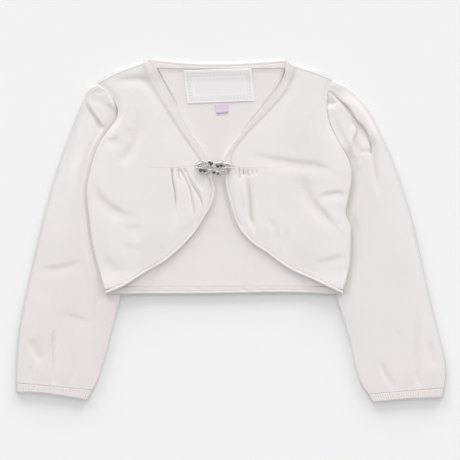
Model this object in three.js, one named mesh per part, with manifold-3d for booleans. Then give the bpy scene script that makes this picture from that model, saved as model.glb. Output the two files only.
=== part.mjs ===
// A small child's bolero cardigan in fine white knit, laid flat on its back with the front up.
// Millimetres, +Z up, neck towards +Y, the wearer's left towards +X, resting on z = 0.
import * as THREE from 'three';
import { mergeVertices } from 'three/addons/utils/BufferGeometryUtils.js';
import Module from 'manifold-3d';

const wasm = await Module();
wasm.setup();

// Driving sizes
const CLOTH = 1.2;
const BAND_CLOTH = 2.2;
const LABEL_CLOTH = 1.0;
const SEAM_GAP = 0.3;
const LAID_GAP = 0.4;
const SLEEVE_FLAT = 4.4;
const SLEEVE_LOFT = 1.6;
const FRONT_LOFT = 1.3;
const RAISE_FLAT = 6;
const RAISE_RUN = 46;
const EDGE_WIDTH = 3.4;
const EDGE_STANDS = [0.4, 1.0];
const BAND_LIFT = 0.2;
const CUFF_RIBS = 32;
const RIB_RISE = 0.35;
const CUFF_LOFT = 0.3;
const HEM_Y = -64;
// The turned-up hem stands a little off the surface, and the body comes down to it over this run
const HEM_STAND = 2;
const HEM_STAND_RUN = 30;
const HEM_DEPTH = 7.2;
const NECK_BAND_Y = 160.5;

// Colours
const KNIT_WHITE = 0xe5e1df;
const INSIDE_WHITE = 0xe6e1de;
const METAL_GREY = 0xa9a9a8;
const STONE_DARK = 0x17141a;
const LABEL_WHITE = 0xe8e7e7;
const TAB_LILAC = 0xd8c9df;

// Outlines of the two halves, each a short list of [x, y] that a smooth curve runs through.
// under: the sleeve's underarm edge where the body hides it. slashEnd: the x at which the front's
// slash ends. crossRow: the row of FRONT_UPPER_ROWS below which the body lies over the sleeve.
const HALVES = {
  right: {
    side: -1,
    shoulder: [[-88.5, 166.5], [-115, 156.5], [-134, 146]],
    neckSeam: [[-88.5, 166.5], [-82, 150], [-73, 134], [-61, 114], [-46, 91], [-33, 73], [-29.5, 64.5]],
    neckEdge: [[-80.4, 171.6], [-72.6, 158.4], [-63, 140.4], [-51, 119], [-39, 97], [-27, 78], [-22.5, 66]],
    armhole: [[-134, 146], [-122, 137], [-115, 127], [-113, 117], [-116, 107], [-122, 100], [-133, 82],
      [-139.5, 63]],
    sideSeam: [[-139.5, 63], [-144, 40], [-142, 15], [-138, -15], [-131, -43], [-125, HEM_Y]],
    slash: [[-29.5, 64.5], [-63, 62.5], [-86, 63], [-115, 63.5], [-139.5, 63]],
    frontEdge: [[-25.5, 64.5], [-18.5, 53], [-16, 40], [-19, 25], [-27, 11], [-36, -3], [-50, -18],
      [-65, -31], [-87, -44], [-108, -57], [-125, HEM_Y]],
    slashEnd: -86,
    crossRow: 5,
    sleeveOuter: [[-134, 146], [-142, 141], [-148, 129], [-156, 110], [-165, 86], [-174, 60], [-185, 22],
      [-196, -24], [-205, -64], [-211, -95], [-214, -123], [-215, -153]],
    under: [[-112.6, 107], [-112, 94], [-110, 76], [-107, 60], [-104, 46]],
    sleeveInner: [[-104, 46], [-100, 26], [-99.5, 0], [-103, -30], [-110, -66], [-118, -98], [-125, -126],
      [-133, -150], [-138, -160]],
    cuffEnd: [[-215, -162], [-191, -162.5], [-165, -166], [-143, -170]],
  },
  left: {
    side: 1,
    shoulder: [[65, 163.5], [85, 157], [101, 150]],
    neckSeam: [[65, 163.5], [60.5, 150], [53, 136], [41, 122], [13, 92], [1, 75], [-0.5, 63.5]],
    neckEdge: [[54, 171], [53.5, 156], [47, 143], [37, 130], [25, 115], [13, 100], [0, 84], [-7.5, 72],
      [-8.5, 65]],
    armhole: [[101, 150], [97, 139], [95.5, 126], [97, 112], [101, 100], [109, 85], [116.5, 71], [120.5, 59]],
    sideSeam: [[120.5, 59], [120, 46], [117, 30], [114.5, 16], [119.5, 2], [119.5, -14], [118, -38],
      [111, HEM_Y]],
    slash: [[-0.5, 63.5], [20, 62], [56, 62.5], [90, 60.5], [120.5, 59]],
    frontEdge: [[-4.8, 64.5], [-6, 49], [-1, 25], [7, 3], [19, -12], [36, -24], [57, -40], [82, -52],
      [111, HEM_Y]],
    slashEnd: 58,
    crossRow: 4,
    sleeveOuter: [[101, 150], [115, 143], [127, 133], [137, 121], [151, 94], [161, 72], [169, 50], [180, 15],
      [189, -24], [198, -64], [207, -101], [214, -129], [215, -144], [213.5, -158]],
    under: [[95.9, 110], [96.6, 97], [98.5, 78], [101, 59], [104, 42]],
    sleeveInner: [[104, 42], [98.5, 24], [96, 0], [98, -30], [105, -66], [109, -80], [119, -113], [125, -141],
      [131, -156], [137, -164]],
    cuffEnd: [[212, -167], [177, -168.5], [155, -170.5], [141, -172]],
  },
};

// Folds. Columns: the line it runs along, its half-width, its rise (a trough falls below 0), and how
// it ends: 1 keeps its full rise at the first point, 0 fades at both ends.
const FOLD_COLUMNS = ['line', 'width', 'rise', 'held'];
const FRONT_GATHERS = {
  right: [
    [[[-55.5, 61], [-57, 45], [-55, 30], [-54, 8]], 2.2, -2.2, 1],
    [[[-51, 60], [-50.5, 48], [-47, 20]], 2.4, 2.0, 1],
    [[[-47, 60], [-42, 46], [-38, 30], [-36, 18]], 1.8, -2.0, 1],
    [[[-43, 61], [-36, 46], [-31, 32], [-28, 20]], 1.9, 1.6, 1],
    [[[-38, 60], [-31, 44], [-27, 30]], 1.6, -1.5, 1],
    [[[-34, 61], [-26, 46], [-21, 32]], 1.8, 1.8, 1],
    [[[-62, 61], [-64, 40], [-62, 15]], 3.5, 1.2, 1],
  ],
  left: [
    [[[7, 59], [7, 46], [6, 30]], 1.7, -1.6, 1],
    [[[11, 60], [12, 42], [13, 16]], 2.2, 2.2, 1],
    [[[15, 59], [16, 40], [18, 23], [19, 10], [24, 0]], 2.3, -3.0, 1],
    [[[19.5, 60], [22, 42], [25, 18]], 2.2, 1.9, 1],
    [[[23.5, 59], [27, 46], [29, 34]], 1.7, -1.4, 1],
    [[[28, 60], [33, 44], [36, 26]], 2.6, 1.3, 1],
    [[[36, 58], [47, 25], [50, -18]], 5.0, -1.0, 1],
    [[[2, 60], [2, 44], [5, 20]], 2.2, 1.2, 1],
  ],
};
const FRONT_FOLDS = {
  right: [
    [[[-128, 149], [-111, 149], [-99, 152], [-87, 151]], 4.5, -1.5, 0],
    [[[-100, 98], [-103, 84], [-107, 70], [-118, 41]], 5.0, -1.6, 0],
    [[[-120, 92], [-111, 97]], 4.0, -1.0, 0],
    [[[-135, 37], [-123, 30], [-115, 22], [-97, 16]], 4.5, -1.6, 0],
    [[[-114, 4], [-99, 2], [-84, 1]], 4.0, -0.8, 0],
    [[[-111, -14], [-84, -17]], 4.0, -0.8, 0],
    [[[-125, -24], [-111, -41]], 4.5, -1.4, 0],
  ],
  left: [
    [[[5, 74], [43, 76], [61, 70], [80, 66], [109, 56]], 4.5, -1.1, 0],
    [[[73, 48], [81, 32], [92, 20], [103, 6], [109, -2]], 4.0, -1.8, 0],
    [[[95, 35], [109, 37], [117, 32]], 3.5, -1.5, 0],
    [[[83, -34], [100, -28], [117, -24]], 3.5, -1.3, 0],
    [[[36, 10], [48, -7], [51, -19]], 4.5, -1.3, 0],
    [[[60, -32], [72, -40]], 3.0, -0.8, 0],
    [[[106, 116], [104, 102], [112, 88]], 5.0, -0.6, 0],
  ],
};
const SLEEVE_FOLDS = {
  right: [
    [[[-124, 130], [-121, 118], [-124, 106]], 7.0, 2.6, 0],
    [[[-144, 134], [-141, 125], [-134, 115], [-125, 99]], 2.2, -3.0, 1],
    [[[-150, 122], [-158, 96], [-168, 60]], 5.5, 1.4, 0],
    [[[-193, -37], [-170, -33], [-145, -28]], 3.0, -1.5, 0],
    [[[-177, -100], [-178, -123], [-177, -151]], 3.2, -1.6, 0],
    [[[-199, -111], [-188, -133]], 4.5, -1.0, 0],
    [[[-165, -83], [-139, -90]], 4.5, -1.0, 0],
    [[[-152, 60], [-158, 30], [-163, 0]], 5.0, 1.0, 0],
  ],
  left: [
    [[[104, 128], [110, 112], [113, 92], [112, 76]], 9.0, 3.0, 0],
    [[[100, 138], [106, 130], [116, 123], [122.5, 113], [128, 106], [134, 98], [138.6, 89], [141, 76]],
      2.2, -4.2, 1],
    [[[105, 142], [118, 132], [130, 117], [142, 96], [148, 74]], 5.0, 2.4, 0],
    [[[126, 108], [128, 98], [125, 88], [123, 76], [121, 60]], 2.6, -2.0, 0],
    [[[144, 60], [149, 36], [151, 12]], 5.0, -1.5, 0],
    [[[186, -77], [188, -100], [186, -123]], 4.0, -1.4, 0],
    [[[197, -113], [203, -136]], 4.0, -1.0, 0],
    [[[152, -140], [162, -156]], 3.5, -1.2, 0],
    [[[165, -100], [166, -112]], 3.0, -0.7, 0],
  ],
};

// Grid lines across a front: close together over the gathers, wider to the side seam.
const FRONT_COLUMNS = [0, 0.018, 0.04, 0.062, 0.084, 0.106, 0.128, 0.15, 0.172, 0.194, 0.216, 0.238, 0.262,
  0.29, 0.33, 0.39, 0.46, 0.54, 0.63, 0.72, 0.81, 0.9, 0.965, 1];
const FRONT_UPPER_ROWS = [0, 0.08, 0.16, 0.24, 0.32, 0.4, 0.49, 0.6, 0.72, 0.84, 0.94, 0.985];
const FRONT_LOWER_ROWS = [0, 0.02, 0.06, 0.13, 0.22, 0.32, 0.43, 0.55, 0.67, 0.79, 0.9, 1];
const SLASH_DIP = 0.9;
const SLASH_END_RUN = 6;

const clamp = (value) => Math.min(1, Math.max(0, value));
const mix = (a, b, part) => a + (b - a) * part;

function smooth(from, to, value) {
  const part = clamp((value - from) / (to - from));
  return part * part * (3 - 2 * part);
}

// A smooth curve through the listed points, read by its share of the length.
function smoothLine(points) {
  const curve = new THREE.CatmullRomCurve3(
    points.map(([x, y]) => new THREE.Vector3(x, y, 0)), false, 'centripetal');
  return (part) => {
    const point = curve.getPointAt(clamp(part));
    return [point.x, point.y];
  };
}

function sampled(line, count) {
  return Array.from({ length: count + 1 }, (_, i) => line(i / count));
}

// The nearest place on a chain of points: its distance and its share of the chain.
function nearest(chain, x, y) {
  let best = { distance: Infinity, along: 0 };
  for (let i = 0; i + 1 < chain.length; i += 1) {
    const [ax, ay] = chain[i];
    const [bx, by] = chain[i + 1];
    const dx = bx - ax;
    const dy = by - ay;
    const part = clamp(((x - ax) * dx + (y - ay) * dy) / (dx * dx + dy * dy));
    const distance = Math.hypot(x - ax - dx * part, y - ay - dy * part);
    if (distance < best.distance) best = { distance, along: (i + part) / (chain.length - 1) };
  }
  return best;
}

function inside(outline, x, y) {
  let found = false;
  outline.forEach(([ax, ay], i) => {
    const [bx, by] = outline[(i + 1) % outline.length];
    if (ay > y !== by > y && x < ax + ((y - ay) / (by - ay)) * (bx - ax)) found = !found;
  });
  return found;
}

// A chain moved sideways: to its right as it runs when distance is above 0.
function moved(chain, distance) {
  return chain.map(([x, y], i) => {
    const [ax, ay] = chain[Math.max(0, i - 1)];
    const [bx, by] = chain[Math.min(chain.length - 1, i + 1)];
    const length = Math.hypot(bx - ax, by - ay);
    return [x + ((by - ay) / length) * distance, y - ((bx - ax) / length) * distance];
  });
}

function chainLine(chain) {
  const lengths = [0];
  for (let i = 1; i < chain.length; i += 1) {
    lengths.push(lengths[i - 1] + Math.hypot(chain[i][0] - chain[i - 1][0], chain[i][1] - chain[i - 1][1]));
  }
  return (part) => {
    const target = clamp(part) * lengths[lengths.length - 1];
    let i = 1;
    while (i < chain.length - 1 && lengths[i] < target) i += 1;
    const share = clamp((target - lengths[i - 1]) / (lengths[i] - lengths[i - 1]));
    return [mix(chain[i - 1][0], chain[i][0], share), mix(chain[i - 1][1], chain[i][1], share)];
  };
}

// A point of the patch between four lines: first and last run along u, start and end run along v.
function patch(first, last, start, end) {
  const [p00, p10, p01, p11] = [first(0), first(1), last(0), last(1)];
  return (u, v) => [0, 1].map((k) => (
    mix(first(u)[k], last(u)[k], v) + mix(start(v)[k], end(v)[k], u)
    - mix(mix(p00[k], p10[k], u), mix(p01[k], p11[k], u), v)));
}

// Folds as chains with a profile; the sum of their rises at a place.
function readFolds(rows) {
  return rows.map((row) => {
    const fold = Object.fromEntries(FOLD_COLUMNS.map((name, i) => [name, row[i]]));
    fold.chain = sampled(smoothLine(fold.line), 3 * fold.line.length);
    return fold;
  });
}

function foldRise(folds, x, y) {
  let total = 0;
  for (const fold of folds) {
    const { distance, along } = nearest(fold.chain, x, y);
    const fade = fold.held ? Math.cos((Math.PI / 2) * along) ** 0.8 : Math.sin(Math.PI * along) ** 0.7;
    total += fold.rise * fade * Math.exp(-((distance / fold.width) ** 2));
  }
  return total;
}

// One closed body from its vertices and triangles, its faces turned outwards.
function closedBody(vertices, triangles) {
  const volume = triangles.reduce((sum, [a, b, c]) => {
    const [p, q, r] = [vertices[a], vertices[b], vertices[c]];
    return sum + (p[0] * (q[1] * r[2] - q[2] * r[1]) + p[1] * (q[2] * r[0] - q[0] * r[2])
      + p[2] * (q[0] * r[1] - q[1] * r[0])) / 6;
  }, 0);
  const turned = volume < 0 ? triangles.map(([a, b, c]) => [a, c, b]) : triangles;
  const geometry = new THREE.BufferGeometry();
  geometry.setAttribute('position', new THREE.Float32BufferAttribute(vertices.flat(), 3));
  geometry.setIndex(turned.flat());
  geometry.computeVertexNormals();
  return geometry;
}

// A sheet of cloth: rows of plan points, each with the height of its underside and its top.
function sheet(rows) {
  const height = rows.length;
  const width = rows[0].length;
  const vertices = [];
  const triangles = [];
  for (const level of ['under', 'top']) {
    rows.forEach((row) => row.forEach((point) => vertices.push([point.x, point.y, point[level]])));
  }
  const at = (i, j, level) => level * height * width + i * width + j;
  const quad = (a, b, c, d) => triangles.push([a, b, c], [a, c, d]);
  for (let i = 0; i + 1 < height; i += 1) {
    for (let j = 0; j + 1 < width; j += 1) {
      quad(at(i, j, 1), at(i + 1, j, 1), at(i + 1, j + 1, 1), at(i, j + 1, 1));
      quad(at(i, j, 0), at(i, j + 1, 0), at(i + 1, j + 1, 0), at(i + 1, j, 0));
    }
  }
  for (let j = 0; j + 1 < width; j += 1) {
    quad(at(0, j, 0), at(0, j, 1), at(0, j + 1, 1), at(0, j + 1, 0));
    quad(at(height - 1, j, 0), at(height - 1, j + 1, 0), at(height - 1, j + 1, 1), at(height - 1, j, 1));
  }
  for (let i = 0; i + 1 < height; i += 1) {
    quad(at(i, 0, 0), at(i + 1, 0, 0), at(i + 1, 0, 1), at(i, 0, 1));
    quad(at(i, width - 1, 0), at(i, width - 1, 1), at(i + 1, width - 1, 1), at(i + 1, width - 1, 0));
  }
  return closedBody(vertices, triangles);
}

// A tube of cloth, open at both ends: rings of outer points and the matching inner points.
function tube(outer, inner) {
  const stations = outer.length;
  const around = outer[0].length;
  const vertices = [...outer.flat(), ...inner.flat()];
  const triangles = [];
  const at = (i, k, skin) => skin * stations * around + i * around + (k % around);
  const quad = (a, b, c, d) => triangles.push([a, b, c], [a, c, d]);
  for (let i = 0; i + 1 < stations; i += 1) {
    for (let k = 0; k < around; k += 1) {
      quad(at(i, k, 0), at(i, k + 1, 0), at(i + 1, k + 1, 0), at(i + 1, k, 0));
      quad(at(i, k, 1), at(i + 1, k, 1), at(i + 1, k + 1, 1), at(i, k + 1, 1));
    }
  }
  for (let k = 0; k < around; k += 1) {
    quad(at(0, k, 0), at(0, k, 1), at(0, k + 1, 1), at(0, k + 1, 0));
    const i = stations - 1;
    quad(at(i, k, 0), at(i, k + 1, 0), at(i, k + 1, 1), at(i, k, 1));
  }
  return closedBody(vertices, triangles);
}

// Lines of each half, worked out once
for (const half of Object.values(HALVES)) {
  half.armholeLine = smoothLine(half.armhole);
  half.sideLine = smoothLine(half.sideSeam);
  half.armholeRows = FRONT_UPPER_ROWS.map((v) => half.armholeLine(v));
  half.sideRows = FRONT_LOWER_ROWS.map((v) => half.sideLine(v));
  const seamRows = half.armholeRows.slice(0, half.crossRow + 1);
  [, half.cross] = seamRows[half.crossRow];
  half.sleeveSeam = [...moved(seamRows, -half.side * LAID_GAP), ...half.under];
  half.bodyEdge = [...half.armholeRows, ...half.sideRows];
  const inner = sampled(smoothLine(half.sleeveInner), 24);
  const outer = sampled(smoothLine(half.sleeveOuter), 24);
  half.sleeveOutline = [...half.sleeveSeam, ...inner, ...outer.reverse()];
}

// How far the body is lifted: by its own turned-up hem, and by the sleeves that pass under its sides
function bodyRaise(x, y) {
  let raise = HEM_STAND * (1 - smooth(0, HEM_STAND_RUN, y - HEM_Y));
  for (const half of Object.values(HALVES)) {
    if (x * half.side < 0) continue;
    const chain = [...half.sleeveOutline, half.sleeveOutline[0]];
    const away = inside(half.sleeveOutline, x, y) ? 0 : nearest(chain, x, y).distance;
    const low = 1 - smooth(half.cross + 1, half.cross + 30, y);
    raise = Math.max(raise, (SLEEVE_FLAT + LAID_GAP) * (1 - smooth(RAISE_FLAT, RAISE_RUN, away)) * low);
  }
  return raise;
}

// The top of the back and its bands, on which the fronts, the label and the tab lie
function backTop(x, y) {
  const neck = smooth(NECK_BAND_Y - 14, NECK_BAND_Y, y);
  const hem = 1 - smooth(HEM_Y + HEM_DEPTH, HEM_Y + HEM_DEPTH + 18, y);
  return bodyRaise(x, y) + CLOTH + (BAND_CLOTH - CLOTH) * Math.max(neck, hem);
}

const over = (x, y) => backTop(x, y) + SEAM_GAP;

const group = new THREE.Group();

function material(color, roughness, metalness = 0) {
  return new THREE.MeshStandardMaterial({ color, roughness, metalness });
}

const KNIT = material(KNIT_WHITE, 0.9);
const INSIDE_KNIT = material(INSIDE_WHITE, 0.92);
const METAL = material(METAL_GREY, 0.3, 1);
const STONE = material(STONE_DARK, 0.08);
const LABEL = material(LABEL_WHITE, 0.7);
const TAB = material(TAB_LILAC, 0.75);

function add(name, geometry, look) {
  const mesh = new THREE.Mesh(geometry, look.clone());
  mesh.name = name;
  group.add(mesh);
}

// Fronts: an upper patch from the shoulder to the slash and a lower one from the slash to the hem
const CLASP_CENTRE = [-17, 62.5];
const CLASP_REACH = [19, 9];

// 0 under the clasp, which holds the cloth down, 1 away from it
function clearOfClasp(x, y) {
  const away = Math.hypot((x - CLASP_CENTRE[0]) / CLASP_REACH[0], (y - CLASP_CENTRE[1]) / CLASP_REACH[1]);
  return smooth(0.9, 1.9, away);
}

// How high the loose front edge stands off the back, from the clasp to the side seam
function edgeLift(part) {
  return mix(...EDGE_STANDS, smooth(0, 0.25, part)) * (1 - smooth(0.8, 1, part));
}

function front(half, name) {
  const folds = readFolds(FRONT_FOLDS[name]);
  const gathers = readFolds(FRONT_GATHERS[name]);
  const edge = moved(sampled(smoothLine(half.frontEdge), 40), -half.side * (EDGE_WIDTH + LAID_GAP));
  const last = edge.length - 1;
  const corner = half.sideLine(0.965);
  const bend = Math.round(last * 0.36);
  const upperEdge = [half.slash[0], ...edge.slice(2, bend + 1)];
  const lowerEdge = [...edge.slice(bend, last - 1), corner];
  const side = chainLine([...sampled(half.sideLine, 60).filter(([, y]) => y > corner[1]), corner]);
  half.panelEdge = [...upperEdge, ...lowerEdge.slice(1)];
  const slash = smoothLine(half.slash);
  const upper = patch(smoothLine(half.shoulder), slash, smoothLine(half.neckSeam), half.armholeLine);
  const lower = patch(slash, chainLine(lowerEdge), chainLine(upperEdge), side);
  // The front keeps its height up to the armhole, and sinks where the sleeve passes under its side
  const loft = (u, v, y) => {
    const sunk = smooth(0.84, 1, u) * (1 - smooth(half.cross - 4, half.cross + 12, y));
    return FRONT_LOFT * (1 - sunk) * mix(0.6, 1, smooth(0, 0.3, u)) * v;
  };
  const rows = [];
  for (const v of FRONT_UPPER_ROWS) {
    rows.push(FRONT_COLUMNS.map((u) => {
      const [x, y] = upper(u, v);
      const soft = foldRise(folds, x, y) * (1 - smooth(0.92, 1, u));
      const lift = loft(u, smooth(0, 0.6, v), y) + soft;
      return { x, y, under: over(x, y) + Math.max(0, lift) * clearOfClasp(x, y) };
    }));
  }
  for (const v of FRONT_LOWER_ROWS) {
    rows.push(FRONT_COLUMNS.map((u) => {
      const [x, y] = lower(u, v);
      const seam = 1 - smooth(0, 0.03, v);
      const slashed = 1 - smooth(-SLASH_END_RUN, 0, half.side * (x - half.slashEnd));
      const gathered = foldRise(gathers, x, y) * smooth(0, 0.04, v);
      const free = 1 - smooth(0.9, 1, u);
      const soft = (foldRise(folds, x, y) + gathered) * free * (1 - 0.7 * smooth(0.75, 1, v));
      const hem = edgeLift(nearest(half.panelEdge, x, y).along);
      const lift = mix(loft(u, 1, y), hem, Math.max(smooth(0.8, 1, v), 1 - smooth(0, 0.05, u))) + soft;
      const height = Math.max(0, lift - SLASH_DIP * seam * slashed * free);
      return { x, y, under: over(x, y) + height * clearOfClasp(x, y) };
    }));
  }
  rows.forEach((row) => row.forEach((point) => { point.top = point.under + CLOTH; }));
  add(`front_${name}`, sheet(rows), KNIT);
}

// A narrow strip between two lines, rounded across; profile columns: share across, drop from full height.
const FOLDED_PROFILE = [[0, 0.9], [0.12, 0.3], [0.5, 0], [0.85, 0.25], [1, 0.7]];

function strip(inner, outer, stations, thickness, base) {
  const rows = [];
  for (let i = 0; i <= stations; i += 1) {
    const part = i / stations;
    const a = inner(part);
    const b = outer(part);
    rows.push(FOLDED_PROFILE.map(([across, drop]) => {
      const [x, y] = [mix(a[0], b[0], across), mix(a[1], b[1], across)];
      const under = base(x, y, part);
      return { x, y, under, top: under + thickness - drop };
    }));
  }
  return sheet(rows);
}

function neckBand(half, name) {
  const seam = chainLine(moved(sampled(smoothLine(half.neckSeam), 24), half.side * (SEAM_GAP + 0.05)));
  const fold = smoothLine(half.neckEdge);
  add(`neck_band_${name}`, strip(fold, seam, 20, BAND_CLOTH, (x, y) => over(x, y) + BAND_LIFT), KNIT);
}

function frontEdge(half, name) {
  const outline = sampled(smoothLine(half.frontEdge), 40);
  const last = outline.length - 1;
  const seam = moved(outline, -half.side * EDGE_WIDTH);
  const corner = half.sideLine(0.975);
  const fold = chainLine(outline.slice(2));
  const join = chainLine([...seam.slice(2, last - 1), corner]);
  const base = (x, y, part) => over(x, y) + edgeLift(mix(0.05, 1, part)) * clearOfClasp(x, y);
  add(`front_edge_${name}`, strip(fold, join, 26, BAND_CLOTH - 0.4, base), KNIT);
}

// The back: rows run from side to side, from the shoulders and neck down to the hem band
const NECK_FOLD = [[-79, 170.8], [-50, 167.6], [-16, 166.3], [20, 167.6], [53, 170]];
const NECK_SEAM = [[-84, 161.4], [-50, 160.6], [-16, 160.3], [20, 160.6], [56, 161.2]];
const HEM_FOLD = [[-125, HEM_Y], [-80, HEM_Y], [-16, HEM_Y + 0.3], [51, HEM_Y + 1.4], [111, HEM_Y]];
const BACK_COLUMNS = [0, 0.035, 0.07, 0.105, 0.14, 0.17, 0.2, 0.26, 0.33, 0.41, 0.5, 0.59, 0.68, 0.72, 0.76,
  0.795, 0.83, 0.86, 0.895, 0.93, 0.965, 1];
const NECK_COLUMNS = [0.2, 0.83];
const BACK_LOWER_ROWS = [0.1, 0.25, 0.42, 0.6, 0.8, 1];

function back() {
  const { right, left } = HALVES;
  const seamY = HEM_Y + HEM_DEPTH;
  const shoulders = [smoothLine(right.shoulder), smoothLine(left.shoulder)];
  const neckSeam = smoothLine(NECK_SEAM);
  const [neckStart, neckEnd] = NECK_COLUMNS;
  const top = (u) => {
    if (u < neckStart) return shoulders[0](1 - 0.98 * (u / neckStart));
    if (u > neckEnd) return shoulders[1]((u - neckEnd) / (1 - neckEnd));
    return neckSeam((u - neckStart) / (neckEnd - neckStart));
  };
  const edges = [right, left].map((half) => {
    let share = 1;
    while (half.sideLine(share)[1] < seamY) share -= 0.002;
    return [...half.armholeRows, half.sideLine(0), ...BACK_LOWER_ROWS.map((v) => half.sideLine(v * share))];
  });
  const [rightEdge, leftEdge] = edges;
  const last = rightEdge.length - 1;
  const bottom = chainLine([rightEdge[last], leftEdge[last]]);
  const onEdge = (edge) => (v) => edge[Math.round(v * last)];
  const body = patch(top, bottom, onEdge(rightEdge), onEdge(leftEdge));
  const rows = rightEdge.map((_, i) => BACK_COLUMNS.map((u) => {
    const [x, y] = body(u, i / last);
    const under = bodyRaise(x, y);
    return { x, y, under, top: under + CLOTH };
  }));
  add('back', sheet(rows), INSIDE_KNIT);
  const hemSeam = chainLine(moved([rightEdge[last], leftEdge[last]], SEAM_GAP));
  add('back_hem_band', strip(smoothLine(HEM_FOLD), hemSeam, 24, BAND_CLOTH, bodyRaise), INSIDE_KNIT);
  const bandSeam = chainLine(moved(sampled(neckSeam, 14), -SEAM_GAP));
  add('back_neck_band', strip(smoothLine(NECK_FOLD), bandSeam, 14, BAND_CLOTH, bodyRaise), INSIDE_KNIT);
}

// Sleeves: a flattened tube from the armhole to the cuff, its folded sides rounded
const TOP_SHARES = [0, 0.004, 0.014, 0.03, 0.06, 0.09, 0.12, 0.15, 0.18, 0.21, 0.24, 0.27, 0.3, 0.33, 0.4,
  0.5, 0.6, 0.7, 0.8, 0.9, 0.96, 0.986, 0.996, 1];
const UNDER_SHARES = [0.985, 0.93, 0.7, 0.4, 0.1, 0.015];
const SLEEVE_STATIONS = [0, 0.012, 0.03, 0.05, 0.075, 0.1, 0.13, 0.17, 0.22, 0.28, 0.34, 0.41, 0.48, 0.55,
  0.63, 0.71, 0.79, 0.87, 0.94, 1];
const FOLD_ROUND = 0.014;
// The gathers of the sleeve head: the shares of the armhole between which they lie, how many, their
// rise and the share of the sleeve over which they run out
const HEAD_GATHERS = { from: 0.03, to: 0.33, count: 5, rise: 1.1, run: 0.1 };
// How far the sleeve head comes down to the front at the armhole, and the share of the sleeve it takes
const SLEEVE_HEAD_DROP = 0.4;
const SLEEVE_HEAD_RUN = 0.06;
// The most that the sleeve's upper layer stands above its flat height
const SLEEVE_SOFT_MOST = 3.1;

// One ring of a flattened tube: up to height on its upper layer, flat below, rounded at both folds
function ringPoints(place, height, topShares, underShares, wall) {
  const width = Math.hypot(...[0, 1].map((k) => place(1)[k] - place(0)[k]));
  const inset = wall / width;
  const shares = [...topShares.map((v) => [v, 1]), ...underShares.map((v) => [v, 0])];
  return shares.map(([v, isTop]) => {
    const [x, y] = place(mix(inset, 1 - inset, v));
    const tall = height(v, x, y);
    const round = Math.sqrt(1 - (1 - clamp(Math.min(v, 1 - v) / FOLD_ROUND)) ** 2);
    const high = tall - wall;
    const middle = (wall + Math.min(high, SLEEVE_FLAT - wall)) / 2;
    return [x, y, mix(middle, isTop ? high : wall, round)];
  });
}

// 0 where the body lies on the sleeve and presses it flat, 1 clear of the body's edge
function sleeveFade(half, x, y) {
  const edge = half.bodyEdge;
  const level = [...edge].reverse().find(([, edgeY]) => edgeY >= y) || edge[0];
  const next = edge.find(([, edgeY]) => edgeY < y) || edge[edge.length - 1];
  const share = clamp((level[1] - y) / Math.max(1e-6, level[1] - next[1]));
  const away = half.side * (x - mix(level[0], next[0], share));
  const below = y < HEM_Y ? smooth(0, 14, HEM_Y - y) : 0;
  return Math.max(smooth(4, 12, away), smooth(half.cross + 3, half.cross + 12, y), below);
}

// The waves of cloth gathered into the sleeve head
function headGather(u, v) {
  const { from, to, count, rise, run } = HEAD_GATHERS;
  if (v < from || v > to) return 0;
  const wave = -Math.cos((2 * Math.PI * count * (v - from)) / (to - from));
  return rise * wave * (1 - smooth(0, run, u));
}

function sleeve(half, name) {
  const folds = readFolds(SLEEVE_FOLDS[name]);
  const outer = smoothLine(half.sleeveOuter);
  const inner = smoothLine(half.sleeveInner);
  const end = chainLine([outer(1), inner(1)]);
  const surface = patch(outer, inner, chainLine(half.sleeveSeam), end);
  const rings = (wall) => SLEEVE_STATIONS.map((u) => {
    const height = (v, x, y) => {
      const loft = SLEEVE_LOFT * (1 - (2 * v - 1) ** 4) * (1 - 0.75 * smooth(0.45, 1, u));
      const folded = foldRise(folds, x, y) * smooth(0, 0.06, Math.min(v, 1 - v));
      const soft = Math.max(0, loft + folded + headGather(u, v));
      const rise = SLEEVE_SOFT_MOST * Math.tanh(soft / SLEEVE_SOFT_MOST);
      const head = (1 - smooth(0, SLEEVE_HEAD_RUN, u)) * smooth(half.cross + 3, half.cross + 12, y);
      return SLEEVE_FLAT - SLEEVE_HEAD_DROP * head
        + rise * sleeveFade(half, x, y) * (1 - 0.8 * head) * (1 - 0.6 * smooth(0.94, 1, u));
    };
    return ringPoints((v) => surface(u, v), height, TOP_SHARES, UNDER_SHARES, wall);
  });
  add(`sleeve_${name}`, tube(rings(0), rings(CLOTH)), KNIT);
}

// Cuffs: a ribbed tube; the ribs are raised on the face that shows, between the RIBBED shares of its width
const RIBBED = [0.02, 0.98];

function cuff(half, name) {
  const start = smoothLine(half.sleeveOuter)(1);
  const finish = smoothLine(half.sleeveInner)(1);
  const seam = chainLine([[start[0], start[1] - LAID_GAP], [finish[0], finish[1] - LAID_GAP]]);
  const fold = smoothLine(half.cuffEnd);
  const steps = 2 * CUFF_RIBS - 2;
  const ribShares = Array.from({ length: steps + 1 }, (_, i) => mix(...RIBBED, i / steps));
  const topShares = [0, 0.004, 0.014, ...ribShares, 0.986, 0.996, 1];
  const rings = (wall) => [0, 0.5, 1].map((u) => {
    const height = (v) => {
      const step = ((v - RIBBED[0]) / (RIBBED[1] - RIBBED[0])) * steps;
      const raised = wall === 0 && v >= RIBBED[0] && v <= RIBBED[1] ? RIB_RISE * (Math.round(step) % 2) : 0;
      return SLEEVE_FLAT + CUFF_LOFT * (1 - (2 * v - 1) ** 4) + raised;
    };
    return ringPoints((v) => [0, 1].map((k) => mix(seam(v)[k], fold(v)[k], u)), height, topShares,
      UNDER_SHARES, wall);
  });
  add(`cuff_${name}`, tube(rings(0), rings(CLOTH)), KNIT);
}

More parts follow.
